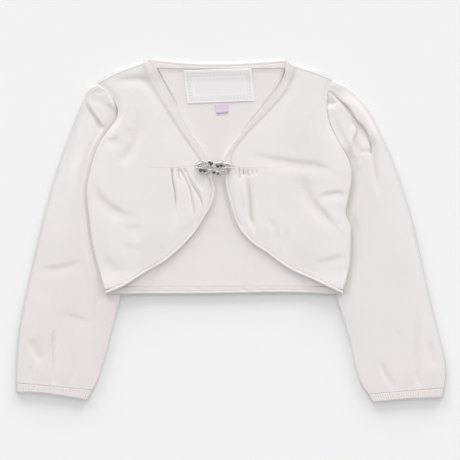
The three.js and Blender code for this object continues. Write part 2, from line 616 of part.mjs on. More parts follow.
// The neck label and the size tab, laid on the back's inner face: corners from the upper left, clockwise
const LABEL_CORNERS = [[-47.5, 159.4], [20.4, 161.8], [23.8, 129], [-43.6, 126.4]];
const LABEL_BOW = 0.25;
const TAB_CORNERS = [[-16.4, 125.8], [-3.2, 126.2], [-2.8, 117.4], [-14.6, 116]];
const TAB_KICK = 0.6;

function patchOnBack(corners, thickness, lift, counts) {
  const [topLeft, topRight, lowRight, lowLeft] = corners;
  const surface = patch(chainLine([topLeft, topRight]), chainLine([lowLeft, lowRight]),
    chainLine([topLeft, lowLeft]), chainLine([topRight, lowRight]));
  const rows = Array.from({ length: counts[1] + 1 }, (_, i) => (
    Array.from({ length: counts[0] + 1 }, (_, j) => {
      const [x, y] = surface(j / counts[0], i / counts[1]);
      const under = over(x, y) + lift(j / counts[0], i / counts[1]);
      return { x, y, under, top: under + thickness };
    })));
  return sheet(rows);
}

// Clasp: each half is a spray of cast leaves with its stones, listed by their rows in STONES. Leaf
// columns: centre x and y, half-length, half-width, turn in degrees. Stone columns: x, y, radius.
const CLASP_THICK = 1.5;
const CLASP_HALVES = {
  hook_half: {
    leaves: [
      [-13.5, 2.8, 5.2, 2.1, 12], [-14.2, -1.4, 5.0, 1.9, -8], [-9.5, 4.6, 4.6, 1.9, -28],
      [-10.5, -4.2, 4.4, 2.1, -38], [-7.0, 0.4, 5.4, 3.0, 10], [-4.6, 5.0, 3.0, 2.2, 30],
      [-4.6, -3.2, 3.4, 2.0, 18],
    ],
    stones: [0, 1, 2, 3],
  },
  eye_half: {
    leaves: [
      [13.2, 2.6, 4.8, 2.0, -14], [13.4, -0.9, 5.0, 1.7, 4], [8.8, -4.4, 4.8, 1.9, 16],
      [6.6, 3.4, 4.4, 2.4, 8], [5.6, -0.6, 5.2, 2.6, -14], [3.6, -5.4, 3.6, 2.0, -24],
      [2.6, 3.2, 2.4, 2.0, 50],
    ],
    stones: [4, 5, 6, 7],
  },
};
const STONES = [
  [-13.1, -3.0, 1.5], [-9.4, -3.2, 1.3], [-4.5, 5.3, 1.0], [-2.5, 3.7, 1.3],
  [3.7, 1.4, 1.4], [7.2, 2.0, 1.4], [0.1, -5.1, 1.3], [3.9, -6.4, 1.0],
];
const LEAF_SIDES = [8, 4];
const CLASP_LIFT = 0.35;
// Each stone sits on a round seat that is part of its half, this share of the stone's radius
const SEAT_SHARE = 0.8;
const SEAT_SIDES = 8;
// The hook: a tongue that drops from the hook half and passes under the eye half
const HOOK = { start: -6.4, end: 5.5, rootLength: 2.2, halfWidth: 1.2, thick: 0.7, clear: 0.25, bite: 0.7 };

function asSolid(geometry) {
  for (const name of ['normal', 'uv']) geometry.deleteAttribute(name);
  const merged = mergeVertices(geometry, 1e-4);
  return new wasm.Manifold(new wasm.Mesh({
    numProp: 3,
    vertProperties: new Float32Array(merged.attributes.position.array),
    triVerts: new Uint32Array(merged.index.array),
  }));
}

function asGeometry(solid) {
  const mesh = solid.getMesh();
  const geometry = new THREE.BufferGeometry();
  geometry.setAttribute('position', new THREE.Float32BufferAttribute(mesh.vertProperties, 3));
  geometry.setIndex(Array.from(mesh.triVerts));
  geometry.computeVertexNormals();
  return geometry;
}

function leaf([x, y, length, width, turn], base) {
  const shape = new THREE.SphereGeometry(1, LEAF_SIDES[0], LEAF_SIDES[1]);
  shape.rotateX(Math.PI / 2);
  shape.scale(length, width, CLASP_THICK / 2);
  shape.rotateZ(THREE.MathUtils.degToRad(turn));
  shape.translate(CLASP_CENTRE[0] + x, CLASP_CENTRE[1] + y, base + CLASP_THICK / 2);
  return asSolid(shape);
}

function stoneSeat([x, y, radius], base) {
  const shape = new THREE.CylinderGeometry(SEAT_SHARE * radius, radius, CLASP_THICK / 2, SEAT_SIDES);
  shape.rotateX(Math.PI / 2);
  shape.translate(CLASP_CENTRE[0] + x, CLASP_CENTRE[1] + y, base + 0.75 * CLASP_THICK);
  return asSolid(shape);
}

function block(startX, endX, low, high) {
  const shape = new THREE.BoxGeometry(endX - startX, 2 * HOOK.halfWidth, high - low);
  shape.translate(CLASP_CENTRE[0] + (startX + endX) / 2, CLASP_CENTRE[1], (low + high) / 2);
  return asSolid(shape);
}

function hook(base) {
  const top = base - HOOK.clear;
  const low = top - HOOK.thick;
  const root = block(HOOK.start, HOOK.start + HOOK.rootLength, low, base + HOOK.bite);
  return root.add(block(HOOK.start, HOOK.end, low, top));
}

function clasp() {
  const base = over(...CLASP_CENTRE) + BAND_LIFT + BAND_CLOTH + CLASP_LIFT;
  for (const [name, { leaves, stones }] of Object.entries(CLASP_HALVES)) {
    const seats = stones.map((i) => stoneSeat(STONES[i], base));
    const pieces = [...leaves.map((row) => leaf(row, base)), ...seats];
    if (name === 'hook_half') pieces.push(hook(base));
    add(`clasp_${name}`, asGeometry(pieces.reduce((whole, piece) => whole.add(piece))), METAL);
  }
  STONES.forEach(([x, y, radius], i) => {
    const gem = new THREE.LatheGeometry([
      [0, 0], [0.75, 0], [1, 0.4], [0.62, 0.95], [0, 0.95],
    ].map(([r, z]) => new THREE.Vector2(r * radius, z)), 8);
    gem.rotateX(Math.PI / 2);
    gem.translate(CLASP_CENTRE[0] + x, CLASP_CENTRE[1] + y, base + CLASP_THICK + SEAM_GAP);
    add(`clasp_stone_${i + 1}`, asGeometry(asSolid(gem)), STONE);
  });
}

back();
for (const [name, half] of Object.entries(HALVES)) {
  front(half, name);
  neckBand(half, name);
  frontEdge(half, name);
  sleeve(half, name);
  cuff(half, name);
}
const labelLift = (u) => LABEL_BOW * Math.sin(Math.PI * u);
add('neck_label', patchOnBack(LABEL_CORNERS, LABEL_CLOTH, labelLift, [9, 4]), LABEL);
const tabLift = (u, v) => TAB_KICK * v;
add('size_tab', patchOnBack(TAB_CORNERS, LABEL_CLOTH, tabLift, [3, 3]), TAB);
clasp();

export default group;
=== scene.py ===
"""Builds the looks of a child's knitted bolero, laid flat with its front up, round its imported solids."""

import math

import bpy
import numpy as np
from bpy.props import FloatProperty, FloatVectorProperty, PointerProperty
from bpy.types import Operator, Panel, PropertyGroup
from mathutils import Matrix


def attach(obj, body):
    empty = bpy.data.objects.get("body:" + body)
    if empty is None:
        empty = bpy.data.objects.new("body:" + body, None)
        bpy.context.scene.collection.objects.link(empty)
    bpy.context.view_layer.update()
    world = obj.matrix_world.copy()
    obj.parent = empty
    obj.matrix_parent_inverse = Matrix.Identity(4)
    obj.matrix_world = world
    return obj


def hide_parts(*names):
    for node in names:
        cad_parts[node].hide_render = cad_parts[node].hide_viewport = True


bl_info = {
    "name": "Knitted bolero laid flat",
    "version": (1, 0, 0),
    "blender": (4, 5, 0),
    "location": "View3D > Sidebar > Bolero",
    "description": "Builds a child's knitted bolero round its packed solids, with a floor, lights and camera",
    "category": "Add Mesh",
}

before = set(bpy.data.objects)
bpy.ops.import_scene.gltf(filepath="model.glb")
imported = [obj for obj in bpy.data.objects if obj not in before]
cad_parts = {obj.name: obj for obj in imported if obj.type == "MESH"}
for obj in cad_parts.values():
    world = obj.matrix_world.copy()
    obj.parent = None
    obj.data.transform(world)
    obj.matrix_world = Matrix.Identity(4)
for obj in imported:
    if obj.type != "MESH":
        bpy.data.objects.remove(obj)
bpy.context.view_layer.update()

# All sizes are in millimetres, in the frame's axes, and meshes are made in metres. The body is lifted by the
# sleeves under its sides: in full within RAISE_FLAT of a sleeve, and not at all past RAISE_RUN.
MM = 0.001
CLOTH = 1.2
BAND_CLOTH = 2.2
SEAM_GAP = 0.3
LAID_GAP = 0.4
SHOWN_SEAM = 0.05
BAND_LIFT = 0.2
SLEEVE_FLAT = 4.4
SLEEVE_LOFT = 1.6
FRONT_LOFT = 1.3
RAISE_FLAT = 6
RAISE_RUN = 46
EDGE_WIDTH = 3.4
EDGE_STANDS = (0.25, 0.6)
HEM_Y = -64
HEM_STAND = 3
HEM_STAND_RUN = 70
HEM_DEPTH = 7.2
NECK_BAND_Y = 160.5
PANEL_ROUND = 0.35
SEWN_ROUND = 0.15
SEAM_TURN = 1.3
# The least that cloth measures through at a turned-down rim, and the deepest that a fold sinks into it
THIN_CLOTH = 0.25
DEEPEST = 0.85
# How strongly painted shade evens out the light on the body's long lit slopes, and the most
EVENED = (3.0, 0.45)

# Outlines of the two halves, each a short list of (x, y) that a smooth curve runs through. "under" is
# the sleeve's underarm edge where the body hides it, and "cross" the share of the armhole below which
# the body lies over the sleeve.
HALVES = {
    "right": {
        "side": -1,
        "shoulder": [(-88.5, 166.5), (-115, 156.5), (-134, 146)],
        "neck_seam": [(-88.5, 166.5), (-82, 150), (-73, 134), (-61, 114), (-46, 91), (-33, 73),
                      (-29.5, 64.5)],
        "neck_edge": [(-80.4, 171.6), (-72.6, 158.4), (-63, 140.4), (-51, 119), (-39, 97), (-27, 78),
                      (-22.5, 66)],
        "armhole": [(-134, 146), (-122, 137), (-115, 127), (-113, 117), (-116, 107), (-122, 100), (-133, 82),
                    (-139.5, 63)],
        "side_seam": [(-139.5, 63), (-144, 40), (-142, 15), (-138, -15), (-131, -43), (-125, HEM_Y)],
        "slash": [(-29.5, 64.5), (-63, 62.5), (-86, 63), (-115, 63.5), (-139.5, 63)],
        "slash_end": -86,
        "front_edge": [(-25.5, 64.5), (-18.5, 53), (-16, 40), (-19, 25), (-27, 11), (-36, -3), (-50, -18),
                       (-65, -31), (-87, -44), (-108, -57), (-125, HEM_Y)],
        "cross": 0.4,
        "sleeve_outer": [(-134, 146), (-142, 141), (-148, 129), (-156, 110), (-165, 86), (-174, 60),
                         (-185, 22), (-196, -24), (-205, -64), (-211, -95), (-214, -123), (-215, -153)],
        "under": [(-112.6, 107), (-112, 94), (-110, 76), (-107, 60), (-104, 46)],
        "sleeve_inner": [(-104, 46), (-100, 26), (-99.5, 0), (-103, -30), (-110, -66), (-118, -98),
                         (-125, -126), (-133, -150), (-138, -160)],
        "cuff_end": [(-215, -162), (-191, -162.5), (-165, -166), (-143, -170)],
    },
    "left": {
        "side": 1,
        "shoulder": [(65, 163.5), (85, 157), (101, 150)],
        "neck_seam": [(65, 163.5), (60.5, 150), (53, 136), (41, 122), (13, 92), (1, 75), (-0.5, 63.5)],
        "neck_edge": [(54, 171), (53.5, 156), (47, 143), (37, 130), (25, 115), (13, 100), (0, 84), (-7.5, 72),
                      (-8.5, 65)],
        "armhole": [(101, 150), (97, 139), (95.5, 126), (97, 112), (101, 100), (109, 85), (116.5, 71),
                    (120.5, 59)],
        "side_seam": [(120.5, 59), (120, 46), (117, 30), (114.5, 16), (119.5, 2), (119.5, -14), (118, -38),
                      (111, HEM_Y)],
        "slash": [(-0.5, 63.5), (20, 62), (56, 62.5), (90, 60.5), (120.5, 59)],
        "slash_end": 58,
        "front_edge": [(-4.8, 64.5), (-6, 49), (-1, 25), (7, 3), (19, -12), (36, -23.6), (57, -38.8),
                       (82, -50.2), (111, HEM_Y)],
        "cross": 0.32,
        "sleeve_outer": [(101, 150), (115, 143), (127, 133), (137, 121), (151, 94), (161, 72), (169, 50),
                         (180, 15), (189, -24), (198, -64), (207, -101), (214, -129), (215, -144),
                         (213.5, -158)],
        "under": [(95.9, 110), (96.6, 97), (98.5, 78), (101, 59), (104, 42)],
        "sleeve_inner": [(104, 42), (98.5, 24), (96, 0), (98, -30), (105, -66), (109, -80), (119, -113),
                         (125, -141), (131, -156), (137, -164)],
        "cuff_end": [(212, -167), (177, -168.5), (155, -170.5), (141, -172)],
    },
}

# Folds, as rows of: the line it runs along, its half-width on the left and on the right of someone who
# walks along the line, its rise (a trough falls below 0), and the share of the rise kept at each end.
FOLD_COLUMNS = ("line", "left", "right", "rise", "start", "end")
GATHERS = {
    "right": [
        ([(-61.5, 61), (-61, 48), (-60.5, 34)], 1.6, 1.6, 0.35, 1, 0),
        ([(-59, 61.5), (-58.6, 52), (-57.2, 44), (-56, 38), (-55.4, 25), (-54.8, 8)], 1.2, 0.9, -2.6, 1, 0),
        ([(-56.2, 61), (-55.4, 48), (-53.8, 36), (-53, 22)], 1.3, 1.3, 0.4, 1, 0),
        ([(-52.6, 61.5), (-52.4, 55), (-52, 48)], 0.9, 0.9, -1.8, 1, 0),
        ([(-50, 59), (-47, 54), (-44, 47), (-41, 40), (-39, 32), (-37, 20), (-35.4, 8), (-38, -2)],
         1.1, 1.6, -1.9, 0.8, 0),
        ([(-47, 61), (-44.5, 57)], 0.8, 0.8, -1.2, 1, 0),
        ([(-44.6, 58), (-41, 50), (-37, 42), (-33, 36), (-30, 30), (-28, 20), (-29.6, 9)],
         1.0, 1.3, -2.0, 0.5, 0),
        ([(-46.6, 52), (-42, 41)], 1.2, 1.2, 0.35, 0, 0),
        ([(-40, 53), (-34, 44), (-28.6, 36)], 1.4, 1.4, 0.4, 0.4, 0),
        ([(-29.6, 58), (-29, 47), (-29.4, 38)], 1.8, 1.8, -0.8, 0.6, 0),
        ([(-20.6, 56), (-20.2, 46), (-21, 36)], 1.2, 1.2, -0.7, 0.6, 0),
        ([(-34, 12), (-38, 2), (-43, -6)], 2.2, 3.4, -0.7, 0, 0),
    ],
    "left": [
        ([(3.2, 61), (4.2, 52)], 0.9, 0.9, -1.2, 1, 0),
        ([(8.4, 61), (8.8, 55), (9.4, 48)], 0.9, 0.9, -2.0, 1, 0),
        ([(10.8, 60), (11.6, 46), (12.6, 34), (13.6, 22)], 1.6, 1.8, 0.5, 1, 0),
        ([(12.3, 61), (13, 53)], 0.8, 0.8, -1.8, 1, 0),
        ([(14, 56), (17, 46), (19, 33), (19.8, 20), (20.4, 12), (22.4, 4), (25.4, -8)],
         2.5, 3.4, -2.3, 0.4, 0),
        ([(16.6, 61), (17.8, 52)], 0.8, 0.8, -1.7, 1, 0),
        ([(20.9, 61), (21.8, 53)], 0.8, 0.8, -1.4, 1, 0),
        ([(25.3, 61), (26, 54)], 0.8, 0.8, -1.2, 1, 0),
        ([(3.4, 16), (8, 8), (13, 2)], 1.4, 2.6, -0.8, 0, 0),
        ([(36, 14), (42, 4), (45.4, -7), (46.4, -20)], 3.6, 3.6, -0.85, 0, 0),
        ([(53, 4), (54.4, -10), (52.6, -24)], 2.4, 2.8, -0.7, 0, 0),
    ],
}
FRONT_FOLDS = {
    "right": [
        ([(-119, 147), (-109, 149), (-96, 150.6), (-86, 150), (-80.4, 144.6), (-77, 139)],
         3.4, 5.6, -1.05, 0, 0.4),
        ([(-94.2, 126), (-93, 103), (-98, 86), (-105, 73), (-115, 64)], 7.0, 4.6, -1.0, 0, 0),
        ([(-124, 87.4), (-118.6, 88.6), (-111, 93)], 3.0, 6.0, -0.85, 0.4, 0),
        ([(-101.6, 103), (-101, 95), (-101.4, 88)], 2.2, 2.2, -0.5, 0, 0),
        ([(-139, 47), (-132, 35), (-123, 25), (-110, 17), (-93, 10)], 3.4, 9.0, -1.15, 0.3, 0),
        ([(-114, 3), (-99, 1), (-86, 1)], 4.0, 8.0, -0.4, 0, 0),
        ([(-111, -16), (-96, -19), (-84, -19)], 4.0, 8.0, -0.35, 0, 0),
        ([(-127, -25), (-119, -37), (-110, -45)], 3.6, 7.0, -0.6, 0.4, 0),
        ([(-84, 58), (-86.5, 30), (-86, 4)], 3.0, 3.0, -0.3, 0, 0),
        ([(-70, 120), (-66, 100), (-68, 84)], 6.0, 6.0, -0.3, 0, 0),
    ],
    "left": [
        ([(8, 74), (28, 72.4), (46, 69.4), (60, 67), (74, 65.4), (86, 63.6), (97, 60), (106, 54)],
         3.4, 7.0, -0.9, 0, 0),
        ([(71, 56), (74, 48), (78, 36), (84, 25), (93, 15), (101, 6), (109, -3)], 3.0, 8.0, -1.2, 0, 0.2),
        ([(85, 30), (92, 33.4), (99, 35.6), (106, 36.4), (112, 35.4), (119, 31)], 2.4, 6.0, -0.8, 0, 0.8),
        ([(80, -35.6), (90, -32.6), (104, -28.6), (119, -25.6)], 2.6, 6.0, -0.6, 0, 0.4),
        ([(58, -36), (70, -37), (82, -35)], 2.2, 4.0, -0.4, 0, 0),
        ([(111, 20), (112, 10), (106, 0)], 2.6, 2.6, -0.5, 0.2, 0),
        ([(96.4, 122), (97.2, 114), (98, 106), (99, 94)], 1.1, 1.3, -1.1, 0.6, 0),
        ([(81, 118), (80.6, 104), (80, 90)], 3.0, 3.0, -0.4, 0, 0),
        ([(101, 105), (105, 98), (111, 89)], 1.6, 2.4, -0.6, 0, 0),
        ([(90, 112), (92, 100), (98, 86)], 3.0, 3.0, -0.4, 0, 0),
    ],
}
SLEEVE_FOLDS = {
    "right": [
        ([(-144, 135), (-143, 125), (-139, 118), (-134, 111), (-129, 104.4), (-125, 99.6)],
         0.9, 2.2, -1.4, 0.2, 0.3),
        ([(-138.4, 134.6), (-134, 139), (-130.4, 142.4)], 0.7, 0.7, -1.0, 0, 0),
        ([(-135.4, 134), (-131.6, 138), (-128.6, 141)], 0.7, 0.7, -0.9, 0, 0),
        ([(-132, 134), (-129.4, 137.6), (-127, 140)], 0.7, 0.7, -0.8, 0, 0),
        ([(-146.6, 132), (-147, 124), (-144, 114)], 1.4, 1.4, 0.5, 0, 0),
        ([(-131, 102), (-133.6, 90), (-138, 74), (-142, 56)], 2.2, 5.0, -1.3, 0.7, 0),
        ([(-135, 128), (-130, 118), (-126, 108)], 4.0, 4.0, 0.5, 0, 0),
        ([(-146, 126), (-155, 98), (-159, 70), (-163, 44)], 5.0, 5.0, -0.7, 0, 0),
        ([(-158, 112), (-166, 84), (-172, 56)], 4.0, 4.0, 0.6, 0, 0),
        ([(-148, 84), (-152, 60), (-158, 30), (-163, 0)], 6.0, 6.0, 0.6, 0, 0),
        ([(-195, -42), (-182, -39), (-170, -38), (-157, -34), (-145, -32)], 2.4, 7.0, -0.6, 0, 0),
        ([(-177, -98), (-178, -111), (-178, -123), (-177, -151)], 2.2, 2.2, -1.15, 0, 0.6),
        ([(-201, -106), (-195, -121), (-186, -136)], 4.4, 4.4, -0.75, 0, 0),
        ([(-170, -84), (-154, -88), (-138, -94)], 3.0, 7.0, -0.4, 0, 0),
        ([(-190, -60), (-186, -90), (-190, -120)], 7.0, 7.0, 0.3, 0, 0),
        ([(-160, -120), (-156, -140), (-158, -155)], 3.0, 3.0, -0.4, 0, 0.6),
        ([(-201, -134), (-200, -151)], 2.4, 2.4, -0.4, 0, 0.8),
    ],
    "left": [
        ([(99, 138), (105, 132), (110, 128), (115, 124), (119, 119), (123, 112.6), (127, 107), (132, 102),
          (136, 96), (138, 90), (140, 83), (139.6, 77)], 0.7, 1.0, -2.3, 0.5, 0.9),
        ([(120, 114), (124, 108), (128.6, 103), (133, 97.6)], 0.8, 1.0, 0.5, 0, 0),
        ([(140.6, 84), (142.6, 70), (144.6, 54), (148, 30)], 3.0, 3.0, -1.3, 0.4, 0),
        ([(112, 134), (124, 124), (134, 111), (144, 92), (149, 72)], 3.6, 3.6, 0.8, 0, 0),
        ([(96.8, 130), (98.4, 126), (102, 122), (106.4, 118.8)], 0.9, 1.1, -0.6, 1, 0),
        ([(97.6, 123), (98.4, 116), (99.4, 109), (101, 97)], 0.9, 1.1, -0.7, 0.6, 0),
        ([(101, 118), (103, 110), (105, 103)], 1.4, 1.4, 0.4, 0, 0),
        ([(103, 103.4), (107, 98), (111, 93), (114.4, 87)], 1.2, 1.8, -0.6, 0, 0),
        ([(103, 128), (110, 121), (117, 113), (121, 106)], 2.2, 2.2, 0.45, 0, 0),
        ([(121.6, 109), (124.6, 102.6), (125.4, 97), (123, 91), (121.6, 84), (121, 70)],
         1.0, 1.0, -1.3, 0, 0.4),
        ([(127, 80), (132, 78.6), (140, 79.6)], 1.4, 3.0, -0.5, 0, 0),
        ([(126, 92), (127.4, 76), (128, 60)], 2.6, 4.0, -0.8, 0, 0),
        ([(186, -70), (187.6, -100), (186, -123), (187, -152)], 3.0, 3.0, -1.0, 0, 0.6),
        ([(196, -108), (200, -124), (204, -142)], 4.0, 4.0, -0.65, 0, 0),
        ([(147, -128), (155, -146), (162, -158)], 3.4, 3.4, -0.7, 0, 0.6),
        ([(165, -98), (166, -114)], 3.0, 3.0, -0.3, 0, 0),
        ([(160, 20), (170, -20), (180, -60)], 8.0, 8.0, 0.4, 0, 0),
        ([(130, 30), (134, -10), (140, -50)], 8.0, 8.0, -0.3, 0, 0),
        ([(186, -138), (187, -158)], 2.2, 2.2, -0.4, 0, 0.8),
    ],
}
BACK_FOLDS = [
    ([(-30, 8), (-16, -6), (6, -14)], 9.0, 9.0, -0.15, 0, 0),
    ([(30, 150), (38, 138), (34, 120)], 6.0, 6.0, -0.15, 0, 0),
    ([(-52, 148), (-46, 126), (-40, 108)], 5.0, 5.0, -0.1, 0, 0),
]
# Where the back dips beside a band that lies on it, as rows of the same columns
BACK_DIPS = [
    ([(-80, 170), (-72.6, 157.4), (-67, 147), (-62, 138), (-56, 127.4), (-51, 118.4)], 1.2, 1.3, -0.8, 1, 0),
    ([(54, 171), (53.4, 156), (47, 142.6), (37, 129.6), (25, 114.4), (13, 99.4), (2, 86)],
     1.6, 1.4, -0.7, 1, 0.2),
    ([(-17.4, 52), (-14.6, 40), (-17.4, 25), (-25.2, 10), (-34.2, -4), (-48, -19.6)],
     2.0, 1.6, -0.25, 0.2, 0),
    ([(-6.8, 54), (-7.6, 46), (-2.8, 25), (5.2, 2.4), (17.6, -13.4)], 1.6, 2.2, -0.25, 0.3, 0.2),
]

# Tucks, where one side of the cloth stands over the other, as rows of: the line, the width over which
# the height changes, how far it reaches to each side, and how much higher the left side stands.
TUCK_COLUMNS = ("line", "width", "reach", "rise")
SLEEVE_TUCKS = {
    "right": [
        ([(-144, 134), (-142.6, 124), (-138.4, 116.4), (-133, 109.4), (-129, 104), (-125, 99)],
         0.9, 7.0, 0.8),
    ],
    "left": [
        ([(104, 133), (110, 128), (115, 124), (119, 119), (123, 112.6), (127, 107), (132, 102), (136, 96),
          (138, 90), (140, 82)], 0.7, 8.0, 1.4),
        ([(122, 108), (125, 102), (125.4, 97), (123, 91), (121.6, 84), (121, 66)], 0.8, 6.0, -1.0),
    ],
}
# The most that a sleeve's folds rise and sink
SLEEVE_MOST = (3.1, 1.3)
# The slow unevenness of each kind of cloth, as rows of: how high it is, how wide one swell is, and its seed
UNEVEN = {"front": (0.12, 26, 5), "back": (0.05, 30, 11), "sleeve": (0.15, 30, 9), "band": (0.12, 5, 3)}
# Painted shade beside the cloth's rims and seams, as rows of: how wide and how much
SHADES = {
    "slash": (0.7, 0.3), "neck_seam": (1.3, 0.3), "edge_seam": (1.5, 0.3), "armhole": (1.5, 0.35),
    "shoulder": (1.6, 0.9), "back_side": (1.6, 0.5),
}

# Waves of cloth gathered into each sleeve head: the shares of the armhole between which they lie, how
# many, their rise, and the share of the sleeve over which they run out
HEAD_GATHERS = {"start": 0.02, "end": 0.3, "count": 6, "rise": 0.15, "run": 0.05}


def smooth(start, end, value):
    part = np.clip((value - start) / (end - start), 0, 1)
    return part * part * (3 - 2 * part)


def mix(a, b, part):
    return a + (b - a) * part


def bell(distance, width):
    """1 at distance 0, falling softly towards 0 past the width."""
    return np.exp(-((distance / width) ** 2))


def between(low, high, value, rising, falling):
    """1 between low and high, eased over the lengths rising and falling inside them, and 0 outside."""
    return smooth(low, low + rising, value) * (1 - smooth(high - falling, high, value))


def chain_line(points):
    """A chain of points, read by its share of the length."""
    points = np.asarray(points, float)
    steps = np.linalg.norm(np.diff(points, axis=0), axis=1)
    lengths = np.concatenate([[0], np.cumsum(steps)])

    def line(share):
        at = np.clip(share, 0, 1) * lengths[-1]
        return np.stack([np.interp(at, lengths, points[:, k]) for k in (0, 1)], axis=-1)

    return line


def smooth_chain(points, steps=24):
    """The points of a smooth curve through the listed ones."""
    p = np.asarray(points, float)
    p = np.vstack([2 * p[0] - p[1], p, 2 * p[-1] - p[-2]])
    t = np.linspace(0, 1, steps, endpoint=False)[:, None]
    dense = []
    for a, b, c, d in zip(p, p[1:], p[2:], p[3:]):
        ab, bc, cd = (math.dist(*ends) ** 0.5 for ends in ((a, b), (b, c), (c, d)))
        leave = ((b - a) / ab - (c - a) / (ab + bc) + (c - b) / bc) * bc
        arrive = ((c - b) / bc - (d - b) / (bc + cd) + (d - c) / cd) * bc
        square = 3 * (c - b) - 2 * leave - arrive
        cube = 2 * (b - c) + leave + arrive
        dense.append(b + leave * t + square * t ** 2 + cube * t ** 3)
    dense.append(p[-2:-1])
    return np.vstack(dense)


def smooth_line(points):
    return chain_line(smooth_chain(points))


def sampled(line, count):
    return line(np.linspace(0, 1, count + 1))


def moved(chain, distance):
    """A chain moved sideways, to its right as it runs where distance is above 0."""
    run = np.gradient(chain, axis=0)
    run /= np.linalg.norm(run, axis=1, keepdims=True)
    return chain + distance * np.stack([run[:, 1], -run[:, 0]], axis=1)


def nearest(chain, place):
    """How far each place is from a chain, its share along the chain, and 1 to its left or -1 to its right."""
    best = np.full(place.shape[:-1], np.inf)
    along = np.zeros(best.shape)
    side = np.ones(best.shape)
    for i, (a, b) in enumerate(zip(chain, chain[1:])):
        run = b - a
        to = place - a
        part = np.clip((to @ run) / (run @ run), 0, 1)
        off = to - part[..., None] * run
        distance = np.hypot(off[..., 0], off[..., 1])
        closer = distance < best
        best[closer] = distance[closer]
        along[closer] = (i + part[closer]) / (len(chain) - 1)
        side[closer] = np.sign(run[0] * to[..., 1] - run[1] * to[..., 0])[closer]
    return best, along, side


def inside(outline, place):
    """Which places lie inside a closed outline."""
    x, y = place[..., 0], place[..., 1]
    found = np.zeros(x.shape, bool)
    for (ax, ay), (bx, by) in zip(outline, np.roll(outline, -1, axis=0)):
        if ay == by:
            continue
        found ^= ((ay > y) != (by > y)) & (x < ax + (y - ay) / (by - ay) * (bx - ax))
    return found


def patch(first, last, start, end, u, v):
    """Plan points between four lines: first and last run along u, start and end run along v."""
    u, v = np.asarray(u)[None, :, None], np.asarray(v)[:, None, None]
    along = mix(first(u[0, :, 0])[None], last(u[0, :, 0])[None], v)
    across = mix(start(v[:, 0, 0])[:, None], end(v[:, 0, 0])[:, None], u)
    corners = mix(mix(first(0.0), first(1.0), u), mix(last(0.0), last(1.0), u), v)
    return along + across - corners


def spaced(length):
    """Shares of a length, evenly spaced, with a few closer ones at each rim for its rounding."""
    step, rim = 0.8, 0.4
    count = max(4, round(length / step))
    close = np.array([0, 0.08, 0.3, 0.65, 1.0]) * rim / length
    even = np.linspace(close[-1], 1 - close[-1], count)
    return np.concatenate([close[:-1], even, 1 - close[-2::-1]])


# How many steps each stretch of a fold's line has
FOLD_STEPS = 5


def fold_height(rows, place):
    """The summed rise of a table's folds at each place."""
    total = np.zeros(place.shape[:-1])
    for row in rows:
        fold = dict(zip(FOLD_COLUMNS, row))
        distance, along, side = nearest(smooth_chain(fold["line"], FOLD_STEPS), place)
        spread = np.where(side > 0, fold["left"], fold["right"])
        ends = mix(fold["start"], 1, smooth(0, 0.35, along)) * mix(fold["end"], 1, smooth(0, 0.35, 1 - along))
        total += fold["rise"] * ends * bell(distance, spread)
    return total


def tuck_height(rows, place):
    """The summed steps of a table's tucks at each place."""
    total = np.zeros(place.shape[:-1])
    for row in rows:
        tuck = dict(zip(TUCK_COLUMNS, row))
        distance, along, side = nearest(smooth_chain(tuck["line"], FOLD_STEPS), place)
        step = np.tanh(side * distance / tuck["width"]) * bell(distance, tuck["reach"])
        total += tuck["rise"] * step * smooth(0, 0.3, along) * smooth(0, 0.2, 1 - along)
    return total


def uneven(kind, place, side=0):
    """The slow, smooth unevenness of one kind of cloth, other on each side."""
    rise, size, seed = UNEVEN[kind]
    random = np.random.default_rng(seed + side)
    total = np.zeros(place.shape[:-1])
    for _ in range(7):
        turn, phase = random.uniform(0, 2 * math.pi, 2)
        stretch = random.uniform(0.7, 1.5)
        wave = place[..., 0] * math.cos(turn) + place[..., 1] * math.sin(turn)
        total += np.sin(wave * math.pi / (size * stretch) + phase)
    return rise * (total / 4)


def half_lines(half):
    """The smooth lines of one half by name, and the chains that its body and sleeve share."""
    lines = {name: smooth_line(points) for name, points in half.items() if isinstance(points, list)}
    armhole, side, inner, outer = (sampled(lines[name], 60) for name in
                                   ("armhole", "side_seam", "sleeve_inner", "sleeve_outer"))
    seam = lines["armhole"](np.linspace(0, half["cross"], 40))
    sleeve_seam = np.vstack([moved(seam, -half["side"] * SHOWN_SEAM), half["under"]])
    return {
        **lines,
        "cross_y": float(seam[-1, 1]),
        "sleeve_seam": sleeve_seam,
        "body_edge": np.vstack([armhole, side[1:]]),
        "sleeve_outline": np.vstack([sleeve_seam, inner[1:], outer[::-1]]),
    }


LINES = {name: half_lines(half) for name, half in HALVES.items()}


def body_raise(place):
    """How far the body is lifted, by its own turned-up hem and by the sleeves that pass under its sides."""
    raised = HEM_STAND * (1 - np.clip((place[..., 1] - HEM_Y) / HEM_STAND_RUN, 0, 1)) ** 1.3
    for name, half in HALVES.items():
        lines = LINES[name]
        outline = lines["sleeve_outline"]
        distance, _, _ = nearest(np.vstack([outline, outline[:1]]), place)
        away = np.where(inside(outline, place), 0, distance)
        up = (place[..., 1] - lines["cross_y"] - 1) / 60
        low = 1 - mix(smooth(0, 1, up), np.clip(up, 0, 1), 0.6)
        lift = (SLEEVE_FLAT + LAID_GAP) * (1 - smooth(RAISE_FLAT, RAISE_RUN, away)) * low
        raised = np.where(place[..., 0] * half["side"] >= 0, np.maximum(raised, lift), raised)
    return raised


def evened(place):
    """A mask of painted shade that darkens the long lit slopes by which the body is lifted, evening out their
    light.
    """
    strength, most = EVENED
    slope = body_raise(place) - body_raise(place + (0, 1))
    return np.clip(strength * slope, 0, most)


